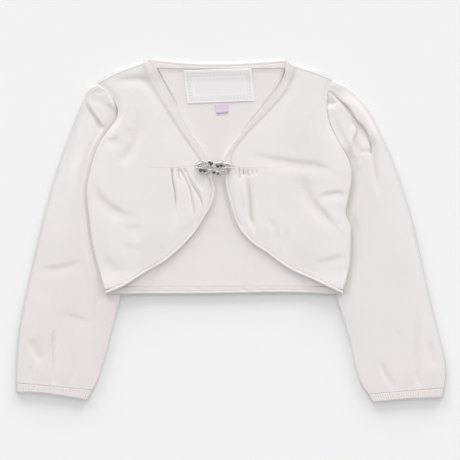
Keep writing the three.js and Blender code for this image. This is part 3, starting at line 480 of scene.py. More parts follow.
def back_top(place):
    """The top of the back and its bands, on which the fronts, the label and the tab lie."""
    neck = smooth(NECK_BAND_Y - 14, NECK_BAND_Y, place[..., 1])
    neck = neck * smooth(-102, -86, place[..., 0]) * (1 - smooth(58, 74, place[..., 0]))
    hem = 1 - smooth(HEM_Y + HEM_DEPTH, HEM_Y + HEM_DEPTH + 18, place[..., 1])
    return body_raise(place) + CLOTH + (BAND_CLOTH - CLOTH) * np.maximum(neck, hem)


def over(place):
    return back_top(place) + SEAM_GAP


def rim_distance(place):
    """How far each point of a grid is from the grid's rim, along its rows and columns."""
    across = np.linalg.norm(np.diff(place, axis=1), axis=2)
    down = np.linalg.norm(np.diff(place, axis=0), axis=2)
    from_start = np.pad(np.cumsum(across, axis=1), ((0, 0), (1, 0)))
    from_top = np.pad(np.cumsum(down, axis=0), ((1, 0), (0, 0)))
    return {
        "start": from_start,
        "end": from_start[:, -1:] - from_start,
        "top": from_top,
        "bottom": from_top[-1:] - from_top,
    }


def rounded(distance, radius=PANEL_ROUND):
    """How far a rounded rim falls below its flat top."""
    part = 1 - np.clip(distance / radius, 0, 1)
    return radius * (1 - np.sqrt(1 - part ** 2))


def rolled(distance, radius):
    """0 at a rim and 1 clear of it, along a quarter of an ellipse."""
    return np.sqrt(1 - (1 - np.clip(distance / radius, 0, 1)) ** 2)


def crease_shade_mask(height):
    """Painted shade in a crease, 0 to 1, by how deep the cloth lies in it from the summed rise of its folds.
    """
    return smooth(0.3, 3.2, -height)


def rim_shade_mask(distance, reach, most):
    """Painted shade on cloth that turns away at a rim, by the distance from it, up to most."""
    return most * bell(distance, reach)


def shade_at(rim, distance):
    """The painted shade of one of the rims in the table, by the distance from it."""
    return rim_shade_mask(distance, *SHADES[rim])


def linked(name, data):
    """A new object of the data, in the scene."""
    thing = bpy.data.objects.new(name, data)
    bpy.context.scene.collection.objects.link(thing)
    return thing


def smooth_mesh(name, vertices, faces, sharp):
    """A mesh in metres from vertices in millimetres, smooth but at edges of more than sharp degrees."""
    mesh = bpy.data.meshes.new(name)
    mesh.from_pydata((np.asarray(vertices, float) * MM).tolist(), [], faces)
    mesh.shade_smooth()
    mesh.set_sharp_from_angle(angle=math.radians(sharp))
    return mesh


def cloth_object(name, vertices, faces, cut, masks):
    """A piece of cloth, with each vertex's place in the flat cut and its masks of painted shade."""
    mesh = smooth_mesh(name, vertices, np.asarray(faces).tolist(), 55)
    layer = mesh.uv_layers.new(name="Cut")
    loops = np.empty(len(mesh.loops), int)
    mesh.loops.foreach_get("vertex_index", loops)
    layer.data.foreach_set("uv", (np.asarray(cut, float)[loops] * MM).ravel())
    for title, values in zip(("Crease", "Rim"), masks):
        mesh.attributes.new(title, "FLOAT", "POINT").data.foreach_set("value", np.clip(values, 0, 1))
    mesh.validate()
    return linked(name, mesh)


def grid_faces(rows, columns, offset=0, turned=False, round_columns=False):
    """Quads of a grid of points, wound the other way where turned, closed round where round_columns."""
    i, j = np.meshgrid(np.arange(rows - 1), np.arange(columns - (0 if round_columns else 1)), indexing="ij")
    after = (j + 1) % columns
    corners = [i * columns + j, (i + 1) * columns + j, (i + 1) * columns + after, i * columns + after]
    faces = offset + np.stack([c.ravel() for c in corners], axis=1)
    return faces[:, ::-1] if turned else faces


def capped_faces(rows, around):
    """Faces of a closed tube: rings of quads and a flat cap at each end."""
    faces = grid_faces(rows, around, round_columns=True).tolist()
    return faces + [list(range(around - 1, -1, -1)), list(range((rows - 1) * around, rows * around))]


def shell(name, place, under, top, cut=None, masks=()):
    """A closed sheet of cloth from a grid of plan points with the heights of its underside and top."""
    rows, columns = place.shape[:2]
    count = rows * columns
    vertices = np.vstack([np.dstack([place, height]).reshape(-1, 3) for height in (top, under)])
    rim = np.concatenate([
        np.arange(columns),
        np.arange(1, rows) * columns + columns - 1,
        (rows - 1) * columns + np.arange(columns - 2, -1, -1),
        np.arange(rows - 2, 0, -1) * columns,
    ])
    after = np.roll(rim, -1)
    wall = np.stack([rim, after, after + count, rim + count], axis=1)
    faces = np.vstack([grid_faces(rows, columns), grid_faces(rows, columns, count, True), wall])
    facing = np.cross(vertices[columns] - vertices[0], vertices[1] - vertices[0])
    if facing[2] < 0:
        faces = faces[:, ::-1]
    flat = place if cut is None else cut
    masks = [np.tile(np.broadcast_to(mask, (rows, columns)).ravel(), 2) for mask in masks]
    return cloth_object(name, vertices, faces, np.vstack([flat.reshape(-1, 2)] * 2), masks)


def finished(thing, material, slot, *nodes):
    """Gives a piece its material and puts it in the frame in place of its nodes; slot is not used."""
    thing.data.materials.append(material)
    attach(thing, "root")
    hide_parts(*nodes)
    return thing


# Materials


class Nodes:
    """Short ways to place and join nodes in one tree."""

    def __init__(self, tree):
        self.tree = tree

    def add(self, kind, **settings):
        node = self.tree.nodes.new(kind)
        for key, value in settings.items():
            setattr(node, key, value)
        return node

    def feed(self, socket, value):
        if isinstance(value, bpy.types.NodeSocket):
            self.tree.links.new(value, socket)
        else:
            socket.default_value = value

    def math(self, operation, *values, clamp=False):
        node = self.add("ShaderNodeMath", operation=operation, use_clamp=clamp)
        for socket, value in zip(node.inputs, values):
            self.feed(socket, value)
        return node.outputs[0]

    def times(self, first, second):
        return self.math("MULTIPLY", first, second)

    def wave(self, value, pace, kind="SINE"):
        """The sine or cosine of a value times its pace."""
        return self.math(kind, self.times(value, pace))

    def most(self, *values):
        """The largest of the values."""
        found = values[0]
        for value in values[1:]:
            found = self.math("MAXIMUM", found, value)
        return found

    def texture_place(self):
        """The place in metres on the object itself."""
        return self.add("ShaderNodeTexCoord").outputs["Object"]

    def blend(self, part, first, second, kind="RGBA", way="MIX"):
        node = self.add("ShaderNodeMix", data_type=kind, blend_type=way)
        sockets = [s for s in node.inputs if s.enabled]
        for socket, value in zip(sockets, (part, first, second)):
            self.feed(socket, value)
        return next(s for s in node.outputs if s.enabled)

    def ramp(self, value, low, high, start=0.0, end=1.0):
        node = self.add("ShaderNodeMapRange", interpolation_type="SMOOTHSTEP")
        for socket, given in zip(node.inputs, (value, low, high, start, end)):
            self.feed(socket, given)
        return node.outputs[0]

    def noise(self, vector, scale, detail=2.0, roughness=0.5):
        node = self.add("ShaderNodeTexNoise")
        given = {"Vector": vector, "Scale": scale, "Detail": detail, "Roughness": roughness}
        for title, value in given.items():
            self.feed(node.inputs[title], value)
        return node.outputs["Fac"]


FLOAT, COLOUR, VECTOR = "NodeSocketFloat", "NodeSocketColor", "NodeSocketVector"
# Sockets of the knit's node group
KNIT_INPUTS = {"Cut": VECTOR, "Wale": FLOAT, "Course": FLOAT, "Slant": FLOAT, "Colour": COLOUR,
               "Stitch shade colour": COLOUR, "Drift colour": COLOUR, "Drift": FLOAT, "Crease": FLOAT,
               "Crease shade tint": COLOUR, "Rim": FLOAT, "Rim shade tint": COLOUR}
KNIT_OUTPUTS = {"Colour": COLOUR, "Height": FLOAT, "Roughness": FLOAT}


def rgba(colour, share=1.0):
    """A colour for a socket, darkened to a share of itself."""
    return (*(share * c for c in colour), 1)


def linear(red, green, blue):
    """A colour as a screen shows it, from 0 to 255, in the linear values that a shader takes."""
    shares = (value / 255 for value in (red, green, blue))
    return tuple(s / 12.92 if s <= 0.04045 else ((s + 0.055) / 1.055) ** 2.4 for s in shares)


def knit_group():
    """Plain knit: columns of small V stitches, a haze of fibre, slow drifts of tint, and painted shade:
    darker stitch hollows, warm shade in creases and grey shade at rims.
    """
    if "Fine knit" in bpy.data.node_groups:
        return bpy.data.node_groups["Fine knit"]
    tree = bpy.data.node_groups.new("Fine knit", "ShaderNodeTree")
    for way, sockets in (("INPUT", KNIT_INPUTS), ("OUTPUT", KNIT_OUTPUTS)):
        for title, kind in sockets.items():
            tree.interface.new_socket(title, in_out=way, socket_type=kind)
    nodes = Nodes(tree)
    given = nodes.add("NodeGroupInput").outputs
    out = nodes.add("NodeGroupOutput").inputs
    split = nodes.add("ShaderNodeSeparateXYZ")
    nodes.feed(split.inputs[0], given["Cut"])
    across = nodes.math("FRACT", nodes.math("DIVIDE", split.outputs["X"], given["Wale"]))
    off_middle = nodes.math("ABSOLUTE", nodes.math("SUBTRACT", across, 0.5))
    column = nodes.wave(off_middle, 2 * math.pi, "COSINE")
    along = nodes.math("DIVIDE", split.outputs["Y"], given["Course"])
    leant = nodes.math("MULTIPLY_ADD", off_middle, nodes.times(given["Slant"], -2.0), along)
    stitch = nodes.wave(leant, 2 * math.pi, "COSINE")
    fibre = nodes.noise(given["Cut"], 1500.0, 3.0, 0.6)
    relief = nodes.math("MULTIPLY_ADD", stitch, 0.22, nodes.math("MULTIPLY_ADD", column, 0.26, 0.5))
    height = nodes.math("MULTIPLY_ADD", nodes.math("SUBTRACT", fibre, 0.5), 0.5, relief)
    # Painted shade: the hollows between the stitches are darker
    body = nodes.blend(nodes.ramp(height, 0.0, 0.75), given["Stitch shade colour"], given["Colour"])
    slow = nodes.ramp(nodes.noise(given["Cut"], 22.0, 2.5, 0.55), 0.35, 0.68)
    tinted = nodes.blend(nodes.times(slow, given["Drift"]), body, given["Drift colour"])
    # Painted shade: the Crease mask tints creases warm and dark, and the Rim mask greys the rims
    deep = nodes.blend(given["Crease"], tinted, given["Crease shade tint"], way="MULTIPLY")
    nodes.feed(out["Colour"], nodes.blend(given["Rim"], deep, given["Rim shade tint"], way="MULTIPLY"))
    nodes.feed(out["Height"], height)
    nodes.feed(out["Roughness"], nodes.ramp(fibre, 0.2, 0.8, 0.82, 0.96))
    return tree


def new_material(name, **fixed):
    """A material with one shader, its nodes and the shader's inputs; fixed holds values of those inputs."""
    material = bpy.data.materials.new(name)
    material.use_nodes = True
    tree = material.node_tree
    tree.nodes.clear()
    nodes = Nodes(tree)
    shader = nodes.add("ShaderNodeBsdfPrincipled")
    leave = nodes.add("ShaderNodeOutputMaterial")
    nodes.feed(leave.inputs["Surface"], shader.outputs[0])
    for title, value in fixed.items():
        shader.inputs[title.replace("_", " ")].default_value = value
    return material, nodes, shader.inputs


def cut_coordinates(nodes):
    """The place in the flat cut, in metres, from the piece's own UV map."""
    node = nodes.add("ShaderNodeUVMap")
    node.uv_map = "Cut"
    return node.outputs["UV"]


def bump(nodes, shader, height, strength, distance):
    node = nodes.add("ShaderNodeBump")
    for title, value in (("Height", height), ("Strength", strength), ("Distance", distance)):
        nodes.feed(node.inputs[title], value)
    nodes.feed(shader["Normal"], node.outputs["Normal"])


# Tints that multiply the knit's colour where it has painted shade: warm for the Crease mask, grey for the Rim
# mask
CREASE_SHADE_TINT = (0.78, 0.71, 0.655)
RIM_SHADE_TINT = (0.70, 0.70, 0.71)


def knit_material(name, colour, drift_colour, slant, wale, course, drift=0.5, depth=0.5):
    """A knit face: slant 0.7 shows the V stitches of the right side, 0.15 the rows of the inside."""
    if name in bpy.data.materials:
        return bpy.data.materials[name]
    material, nodes, shader = new_material(name, Specular_IOR_Level=0.2, Sheen_Weight=0.12,
                                           Sheen_Roughness=0.6)
    group = nodes.add("ShaderNodeGroup", node_tree=knit_group())
    values = {
        "Cut": cut_coordinates(nodes), "Wale": wale, "Course": course, "Slant": slant, "Drift": drift,
        "Colour": rgba(colour), "Stitch shade colour": rgba(colour, 0.95), "Drift colour": rgba(drift_colour),
        "Crease shade tint": rgba(CREASE_SHADE_TINT), "Rim shade tint": rgba(RIM_SHADE_TINT),
    }
    for mask in ("Crease", "Rim"):
        values[mask] = nodes.add("ShaderNodeAttribute", attribute_name=mask).outputs["Fac"]
    for title, value in values.items():
        nodes.feed(group.inputs[title], value)
    nodes.feed(shader["Base Color"], group.outputs["Colour"])
    nodes.feed(shader["Roughness"], group.outputs["Roughness"])
    bump(nodes, shader, group.outputs["Height"], depth, 0.00035)
    return material


# Fronts, back and bands

# The clasp holds the cloth down out to the first of two shares of its reach, and no more past the second
CLASP_CENTRE = (-17, 62.5)
CLASP_REACH = (17, 7)
CLASP_CLEAR = (0.86, 1.25)
SLASH_END_RUN = 6
# The front edge's outline has EDGE_STEPS steps. Its strip starts at EDGE_TOP, the front's own side turns
# into its lower edge at EDGE_TURN, and both end at EDGE_FOOT
EDGE_STEPS = 160
EDGE_TOP, EDGE_TURN, EDGE_FOOT = 8, 56, 155
# The shares of the side seam at which the front and its edge strip end
PANEL_CORNER, STRIP_CORNER = 0.965, 0.975
# Steps of the front's grid, as rows of: the share where a range ends and how many steps it has
FRONT_ACROSS = [(0.006, 3), (0.36, 76), (0.97, 46), (1, 12)]
FRONT_UPPER = [(0.02, 7), (0.86, 64), (1, 20)]
FRONT_LOWER = [(0.03, 12), (0.5, 70), (0.992, 56), (1, 4)]
# The share of the tables' rise that the fronts' folds and gathered troughs have, and how much deeper than
# they are the gathers are given painted shade
FOLD_SHARE = 0.85
GATHER_SHARE = 0.66
GATHER_SHADE = 1.35
# The groove of the slash: how deep, how far below the seam, and how wide
SLASH_GROOVE = (0.04, 0.4, 0.8)
# How far the painted shade on a front's edge fades out towards the top of the armhole, and between which
# heights
FADED_EDGES = {"right": 0.0, "left": 0.9}
FADED_FROM = (64, 88)
# The front's loft: its share at the neck and how far across it grows, its share at the shoulder and how far
# down it grows, and its press at the side: from which share across, and how much above the sleeve's crossing
NECK_LOFT = (0.6, 0.3)
SHOULDER_LOFT = (0.55, 0.6)
ARMHOLE_PRESS = (0.84, 0.85)
# How high the cloth lies along the neck band, and over what width
NECK_SEAM_LIFT = (0.6, 3)
# How far above the body's underside the turned-down rim ends, clear of the sleeve and over it
RIM_REST = (0.1, -0.3)


def settled(height):
    """A height that never falls below 0, eased so that deep folds don't end in a flat floor."""
    low = 0.3
    return np.where(height > low, height, low * np.exp(np.minimum(0, height / low - 1)))


def clear_of_clasp(place):
    """0 under the clasp, which holds the cloth down, 1 away from it."""
    away = np.hypot(*((place[..., k] - CLASP_CENTRE[k]) / CLASP_REACH[k] for k in (0, 1)))
    return smooth(*CLASP_CLEAR, away)


def edge_lift(part):
    """How high the loose front edge stands off the back, from the clasp to the side seam."""
    return mix(*EDGE_STANDS, smooth(0, 0.25, part)) * (1 - smooth(0.8, 1, part))


def closer(ranges):
    """Shares from 0 to 1, as rows of: where a range ends and how many steps it has."""
    shares = [np.array([0.0])]
    for end, count in ranges:
        shares.append(np.linspace(shares[-1][-1], end, count + 1)[1:])
    return np.concatenate(shares)


def front_outline(name, inward):
    """The front edge's outline, moved inward from the fold."""
    return moved(sampled(LINES[name]["front_edge"], EDGE_STEPS), -HALVES[name]["side"] * inward)


def front_grid(name):
    """A front's plan points above and below its slash, the shares that they lie at, and its loose edge."""
    lines = LINES[name]
    edge = front_outline(name, EDGE_WIDTH + SHOWN_SEAM)
    corner = lines["side_seam"](PANEL_CORNER)
    upper_edge = np.vstack([HALVES[name]["slash"][0], edge[EDGE_TOP:EDGE_TURN + 1]])
    lower_edge = np.vstack([edge[EDGE_TURN:EDGE_FOOT], corner])
    sides = sampled(lines["side_seam"], 120)
    side = chain_line(np.vstack([sides[sides[:, 1] > corner[1]], corner]))
    u, v_upper, v_lower = closer(FRONT_ACROSS), closer(FRONT_UPPER), closer(FRONT_LOWER)
    upper = patch(lines["shoulder"], lines["slash"], lines["neck_seam"], lines["armhole"], u, v_upper[:-1])
    lower = patch(lines["slash"], chain_line(lower_edge), chain_line(upper_edge), side, u, v_lower)
    return upper, lower, (u, v_upper[:-1], v_lower[:, None]), np.vstack([upper_edge, lower_edge[1:]])


def build_front(name, material):
    half = HALVES[name]
    cross_y = LINES[name]["cross_y"]
    upper, lower, (u, v_upper, down), panel_edge = front_grid(name)
    place = np.vstack([upper, lower])
    count = len(upper)
    rim = rim_distance(place)
    over_sleeve = 1 - smooth(cross_y - 4, cross_y + 12, place[..., 1])
    least, run = SHOULDER_LOFT
    share = mix(least, 1, np.concatenate([smooth(0, run, v_upper), np.ones(len(down))]))[:, None]
    start, least = ARMHOLE_PRESS
    pressed = smooth(start, 1, u) * np.maximum(over_sleeve, least)
    least, run = NECK_LOFT
    loft = FRONT_LOFT * (1 - pressed) * mix(least, 1, smooth(0, run, u)) * share
    folds = FOLD_SHARE * fold_height(FRONT_FOLDS[name], place) + uneven("front", place, half["side"])

    high = loft[:count] + folds[:count] * (1 - smooth(0.92, 1, u) * over_sleeve[:count])
    at_neck, wide = NECK_SEAM_LIFT
    high = mix(high, at_neck, bell(rim["start"][:count], wide))
    from_slash = rim_distance(lower)["top"]
    slashed = 1 - smooth(-SLASH_END_RUN, 0, half["side"] * (lower[..., 0] - half["slash_end"]))
    rise = FOLD_COLUMNS.index("rise")
    troughs = fold_height([row for row in GATHERS[name] if row[rise] < 0], lower)
    ridges = fold_height([row for row in GATHERS[name] if row[rise] > 0], lower)
    gathered = GATHER_SHARE * troughs * smooth(0.2, 3.5, from_slash) + ridges * smooth(1, 12, from_slash)
    soft = (folds[count:] + gathered) * (1 - smooth(0.9, 1, u)) * (1 - 0.7 * smooth(0.75, 1, down))
    held = np.maximum(smooth(0.7, 1, down), 1 - smooth(0, 0.05, u))
    low = mix(loft[count:], edge_lift(nearest(panel_edge, lower)[1]), held) + soft
    depth, below, wide = SLASH_GROOVE
    low -= depth * bell(from_slash - below, wide) * slashed
    lift = np.vstack([high, low]) * clear_of_clasp(place)

    under = over(place) + settled(lift)
    top = under + CLOTH + np.maximum(lift - settled(lift), -DEEPEST)
    sewn = np.minimum(rim["start"], rim["bottom"])
    top -= rounded(sewn, SEWN_ROUND)
    rest = body_raise(place) + mix(*RIM_REST, over_sleeve)
    fall = np.maximum((1 - rolled(rim["end"], SEAM_TURN)) * over_sleeve, 1 - rolled(rim["top"], 0.5))
    top = mix(top, rest + THIN_CLOTH, fall)
    under = mix(under, rest, np.maximum(smooth(SEAM_TURN * 0.75, 0.2, rim["end"]) * over_sleeve,
                                        smooth(0.5, 0.1, rim["top"])))
    # Painted shade: warm in the folds, gathers, slash and seams, grey at the rims and on the lit slopes
    crease = crease_shade_mask(folds)
    crease[count:] = crease_shade_mask(folds[count:] + GATHER_SHADE * gathered)
    crease[count:] += shade_at("slash", from_slash) * slashed + shade_at("edge_seam", sewn[count:])
    crease[:count] += shade_at("neck_seam", rim["start"][:count])
    shown_edge = over_sleeve * (1 - FADED_EDGES[name] * smooth(*FADED_FROM, place[..., 1]))
    outline = shade_at("armhole", rim["end"]) * shown_edge + shade_at("shoulder", rim["top"]) + evened(place)
    thing = shell(f"front_{name}_cloth", place, under, np.maximum(top, under + THIN_CLOTH),
                  masks=(crease, outline))
    return finished(thing, material, "knit", f"front_{name}")


def strip(name, fold, seam, length, base, rest, thickness, roll, fall, rims, grooves=(), shade=0.0):
    """A narrow folded band: it rolls down to what it rests on at its fold, and falls softly to its seam.

    roll is the width of the rolled fold, fall how deep and how wide the fall at the seam is, rims how much
    painted shade the fold and the seam get, and shade how much painted shade the whole band gets. Grooves are
    rows of: how far from the fold, how wide and how deep.
    """
    along = np.linspace(0, 1, round(length / 1.1) + 1)
    across = closer([(0.03, 3), (0.34, 9), (0.8, 8), (1, 6)])
    place = mix(fold(along)[:, None], seam(along)[:, None], across[None, :, None])
    rim = rim_distance(place)
    drop = fall[0] * (1 - smooth(0, fall[1], rim["end"])) + rounded(rim["top"]) + rounded(rim["bottom"])
    for middle, half_width, depth in grooves:
        drop += depth * bell(rim["start"] - middle, half_width)
    drop -= uneven("band", place) * np.sin(math.pi * across)
    turn = rolled(rim["start"], roll)
    under = mix(rest(place), base(place), smooth(0, 1, turn))
    top = mix(rest(place) + THIN_CLOTH, base(place) + thickness - drop, turn)
    cut = np.dstack([np.broadcast_to(along[:, None] * length, place.shape[:2]), rim["start"]])
    # Painted shade at the seam and the fold, and over the whole band
    masks = (rim_shade_mask(rim["end"], 0.9, rims[1]), rim_shade_mask(rim["start"], 0.9, rims[0]) + shade)
    return shell(name, place, under, np.maximum(top, under + THIN_CLOTH), cut[..., ::-1], masks)


def line_length(line):
    return float(np.linalg.norm(np.diff(sampled(line, 200), axis=0), axis=1).sum())


def on_back(place):
    return back_top(place) + 0.05


# How thick each kind of band is shown, and how much painted shade each neck band's fold gets
NECK_BAND_CLOTH = 2.0
EDGE_CLOTH = BAND_CLOTH - 0.75
HEM_CLOTH = 1.4
NECK_RIMS = {"right": 0.45, "left": 0.1}


def build_neck_band(name, material):
    lines = LINES[name]
    seam = chain_line(moved(sampled(lines["neck_seam"], 120), HALVES[name]["side"] * SHOWN_SEAM))
    thing = strip(f"neck_band_{name}_cloth", lines["neck_edge"], seam, line_length(seam),
                  lambda place: over(place) + BAND_LIFT, on_back, thickness=NECK_BAND_CLOTH, roll=0.3,
                  fall=(0.4, 2.6), grooves=[(3.6, 0.5, 0.12), (5.2, 0.5, 0.1)], rims=(NECK_RIMS[name], 0.15))
    return finished(thing, material, "knit", f"neck_band_{name}")


def build_front_edge(name, material):
    fold = chain_line(front_outline(name, 0)[EDGE_TOP:])
    corner = LINES[name]["side_seam"](STRIP_CORNER)
    join = chain_line(np.vstack([front_outline(name, EDGE_WIDTH)[EDGE_TOP:EDGE_FOOT], corner]))

    def base(place):
        part = mix(0.05, 1, np.linspace(0, 1, len(place)))[:, None]
        return over(place) + edge_lift(part) * clear_of_clasp(place)

    thing = strip(f"front_edge_{name}_cloth", fold, join, line_length(fold), base, on_back,
                  thickness=EDGE_CLOTH, roll=1.4, fall=(0.25, 1.4), rims=(0.2, 0.2))
    return finished(thing, material, "knit", f"front_edge_{name}")


# Lines of the back's bands, their cut lengths, and the shares of the back's upper edge between which its
# neck lies
NECK_FOLD = [(-79, 170.8), (-50, 167.6), (-16, 166.3), (20, 167.6), (53, 170)]
NECK_SEAM = [(-84, 161.4), (-50, 160.6), (-16, 160.3), (20, 160.6), (56, 161.2)]
HEM_FOLD = [(-125, HEM_Y), (-80, HEM_Y), (-16, HEM_Y + 0.3), (51, HEM_Y + 1.4), (111, HEM_Y)]
HEM_LENGTH, NECK_LENGTH = 236, 136
NECK_COLUMNS = (0.2, 0.83)
BACK_ACROSS = [(0.004, 3), (0.2, 28), (0.83, 118), (0.996, 24), (1, 3)]
BACK_DOWN = [(0.004, 3), (0.996, 150), (1, 3)]
# The most that the back's folds rise and sink, and how high and how far down its upper edge is lifted
BACK_MOST = 0.2
BACK_TOP_LIFT = (0.35, 5)


def back_edges():
    """The back's two side edges, from the shoulders down to the hem band."""
    edges = []
    for name, lines in LINES.items():
        sides = sampled(lines["side_seam"], 240)
        sides = sides[sides[:, 1] >= HEM_Y + HEM_DEPTH]
        edge = np.vstack([sampled(lines["armhole"], 80), sides[1:]])
        edges.append(moved(edge, HALVES[name]["side"] * SEAM_TURN))
    return edges


def build_back(material):
    right, left = (lines["shoulder"] for lines in LINES.values())
    neck_seam = smooth_line(NECK_SEAM)
    start, end = NECK_COLUMNS
    edges = back_edges()

    def top_line(share):
        share = np.asarray(share, float)
        on_right = right(1 - 0.98 * np.clip(share / start, 0, 1))
        on_left = left(np.clip((share - end) / (1 - end), 0, 1))
        middle = neck_seam(np.clip((share - start) / (end - start), 0, 1))
        line = np.where((share > end)[..., None], on_left, middle)
        return np.where((share < start)[..., None], on_right, line)

    bottom = chain_line([edges[0][-1], edges[1][-1]])
    place = patch(top_line, bottom, chain_line(edges[0]), chain_line(edges[1]), closer(BACK_ACROSS),
                  closer(BACK_DOWN))
    under = body_raise(place)
    rim = rim_distance(place)
    near_rim = np.minimum.reduce([*rim.values()])
    swell = np.clip(fold_height(BACK_FOLDS, place) + uneven("back", place), -BACK_MOST, BACK_MOST)
    dips = np.maximum(fold_height(BACK_DIPS, place), -DEEPEST)
    top = under + CLOTH - rounded(near_rim, 0.2) + swell * smooth(0, 6, near_rim) + dips
    lift, run = BACK_TOP_LIFT
    top += lift * (1 - smooth(0, run, rim["top"]))
    # Painted shade: warm in the dips beside the bands, grey at the sides and on the lit slopes
    outline = shade_at("back_side", np.minimum(rim["start"], rim["end"])) + evened(place)
    thing = shell("back_cloth", place, under, top, place, (np.maximum(-dips / DEEPEST, 0), outline))
    return finished(thing, material, "knit_inside", "back")


def build_back_bands(material):
    hem_seam = chain_line([edge[-1] - (0, SHOWN_SEAM) for edge in back_edges()])
    # The hem band gets painted shade all over
    hem = strip("back_hem_band_cloth", smooth_line(HEM_FOLD), hem_seam, HEM_LENGTH, body_raise, body_raise,
                thickness=HEM_CLOTH, roll=1.2, fall=(0.25, 0.6), grooves=[(2.9, 0.5, 0.15)], shade=0.2,
                rims=(0.15, 0.6))
    finished(hem, material, "knit_inside", "back_hem_band")
    neck_seam = chain_line(sampled(smooth_line(NECK_SEAM), 80) + (0, SHOWN_SEAM))
    band = strip("back_neck_band_cloth", smooth_line(NECK_FOLD), neck_seam, NECK_LENGTH, body_raise,
                 body_raise, thickness=NECK_BAND_CLOTH, roll=0.8, fall=(0.4, 1.2), grooves=[(3.2, 0.5, 0.15)],
                 rims=(0.3, 0.15))
    finished(band, material, "knit_inside", "back_neck_band")
    return hem, band


# Sleeves and cuffs

SLEEVE_WIDTH = 106
SLEEVE_RINGS = [(0.003, 4), (0.4, 110), (0.995, 126)]
FOLD_RADIUS = 1.8
# How high the front's top lies along the armhole, over which share of the sleeve its head comes to it, and
# the most that the head rises there
HEAD_JOINED = 0.8
HEAD_RUN = 0.06
HEAD_MOST = SLEEVE_FLAT + 2.1
# From which share of its length on each sleeve's knit gets darker towards its cuff, and how much
SLEEVE_SHADE = {"right": (0.3, 0.12), "left": (0.75, 0.16)}
# How deep the armhole seam is sewn in, how high the head rolls over beside it, and between which heights
ARMHOLE_SEAMS = {"right": (0.12, 0.3, 103, 127), "left": (0.0, 0.0, 86, 150)}
# How much the sleeve swells up beside the body's edge, between which heights, and how far out it starts
SWELLS = {"right": (1.5, -60, 140, (0.4, 4.0)), "left": (2.4, 68, 128, (-0.9, 0.5))}
# The painted shade on the sleeve beside the body: how strong, how wide, and between which heights it fades
# out
SIDE_SHADES = {"right": (0.14, 2.6, 119, 120), "left": (0.6, 4.6, 66, 88)}


def from_body(name, place):
    """How far each place lies outside the body's side edge."""
    edge = LINES[name]["body_edge"]
    return HALVES[name]["side"] * (place[..., 0] - np.interp(-place[..., 1], -edge[:, 1], edge[:, 0]))


def sleeve_fade(name, place):
    """0 where the body lies on the sleeve and presses it flat, 1 clear of the body's edge."""
    lines = LINES[name]
    away = from_body(name, place)
    y = place[..., 1]
    below = np.where(y < HEM_Y, smooth(0, 14, HEM_Y - y), 0)
    clear = smooth(lines["cross_y"] + 3, lines["cross_y"] + 12, y)
    return np.maximum.reduce([smooth(4, 12, away), clear, below])


def head_gather(u, v):
    """The waves of cloth gathered into the sleeve head."""
    start, end = HEAD_GATHERS["start"], HEAD_GATHERS["end"]
    wave = -np.cos(2 * math.pi * HEAD_GATHERS["count"] * (v - start) / (end - start))
    within = between(start, end, v, 0.02, 0.02)
    return HEAD_GATHERS["rise"] * wave * within * (1 - smooth(0, HEAD_GATHERS["run"], u))


def ring_shares(width, across, under):
    """Shares across a flattened tube for its upper layer, and those for its lower one on the way back."""
    turn = np.array([0, 0.02, 0.08, 0.18, 0.33, 0.52, 0.75]) * FOLD_RADIUS / width
    middle = np.linspace(FOLD_RADIUS / width, 1 - FOLD_RADIUS / width, across)
    top = np.concatenate([turn, middle, 1 - turn[::-1]])
    back = np.concatenate([1 - turn[1::2], np.linspace(0.95, 0.05, under), turn[1::2][::-1]])
    return top, back


def tube(name, place, heights, cut, masks):
    """A closed tube of cloth: the outer skin and the inner one, each a grid of rings, joined at both ends."""
    vertices, faces, flat, rims, offset = [], [], [], [], 0
    for skin, (plan, height) in enumerate(zip(place, heights)):
        rings, around = plan.shape[:2]
        vertices.append(np.dstack([plan, height]).reshape(-1, 3))
        flat.append(cut[skin].reshape(-1, 2))
        faces.append(grid_faces(rings, around, offset, turned=skin == 1, round_columns=True))
        rims.append((offset + np.arange(around), offset + (rings - 1) * around + np.arange(around)))
        offset += rings * around
    (outer_start, outer_end), (inner_start, inner_end) = rims
    for outer, inner in ((outer_start, inner_start), (inner_end, outer_end)):
        faces.append(np.stack([outer, np.roll(outer, -1), np.roll(inner, -1), inner], axis=1))
    vertices, faces = np.vstack(vertices), np.vstack(faces)
    a, b, c = (vertices[faces[:, k]] for k in (0, 1, 2))
    if np.einsum("ij,ij->i", a, np.cross(b, c)).sum() < 0:
        faces = faces[:, ::-1]
    masks = [np.concatenate([mask.ravel() for mask in skins]) for skins in zip(*masks)]
    return cloth_object(name, vertices, faces, np.vstack(flat), masks)


def flat_tube(surface, stations, width, height_at, length, top_count=96, under_count=26, coarse=4):
    """Plan points, heights, flat-cut places and painted-shade masks of a flattened tube's outer and inner
    skins.

    The upper layer has top_count points across and the lower one under_count, and the inner skin has one
    ring for each coarse rings of the outer one.
    """
    top_shares, back_shares = ring_shares(width, top_count, under_count)
    shares = np.concatenate([top_shares, back_shares])
    is_top = np.arange(len(shares)) < len(top_shares)
    plans, heights, cuts, masks = [], [], [], []
    for wall, rings in ((0.0, stations), (CLOTH, stations[::coarse])):
        inset = wall / width
        across = mix(inset, 1 - inset, shares)
        place = surface(across, rings)
        tall, crease = height_at(np.broadcast_to(rings[:, None], place.shape[:2]), across[None], place)
        from_fold = np.minimum(shares, 1 - shares) * width
        high = tall - wall
        middle = (wall + np.minimum(high, SLEEVE_FLAT - wall)) / 2
        plans.append(place)
        heights.append(mix(middle, np.where(is_top, high, wall), rolled(from_fold, FOLD_RADIUS)))
        run = np.where(is_top, shares, 2 - shares) * width
        cuts.append(np.dstack(np.broadcast_arrays(run[None], -length * rings[:, None])))
        # Painted shade: grey where the tube turns at its folds, stronger at the outer one
        outline = rim_shade_mask(from_fold, 1.9, mix(0.95, 0.15, shares))
        masks.append([np.broadcast_to(mask, place.shape[:2]) for mask in (crease, outline)])
    return plans, heights, cuts, masks


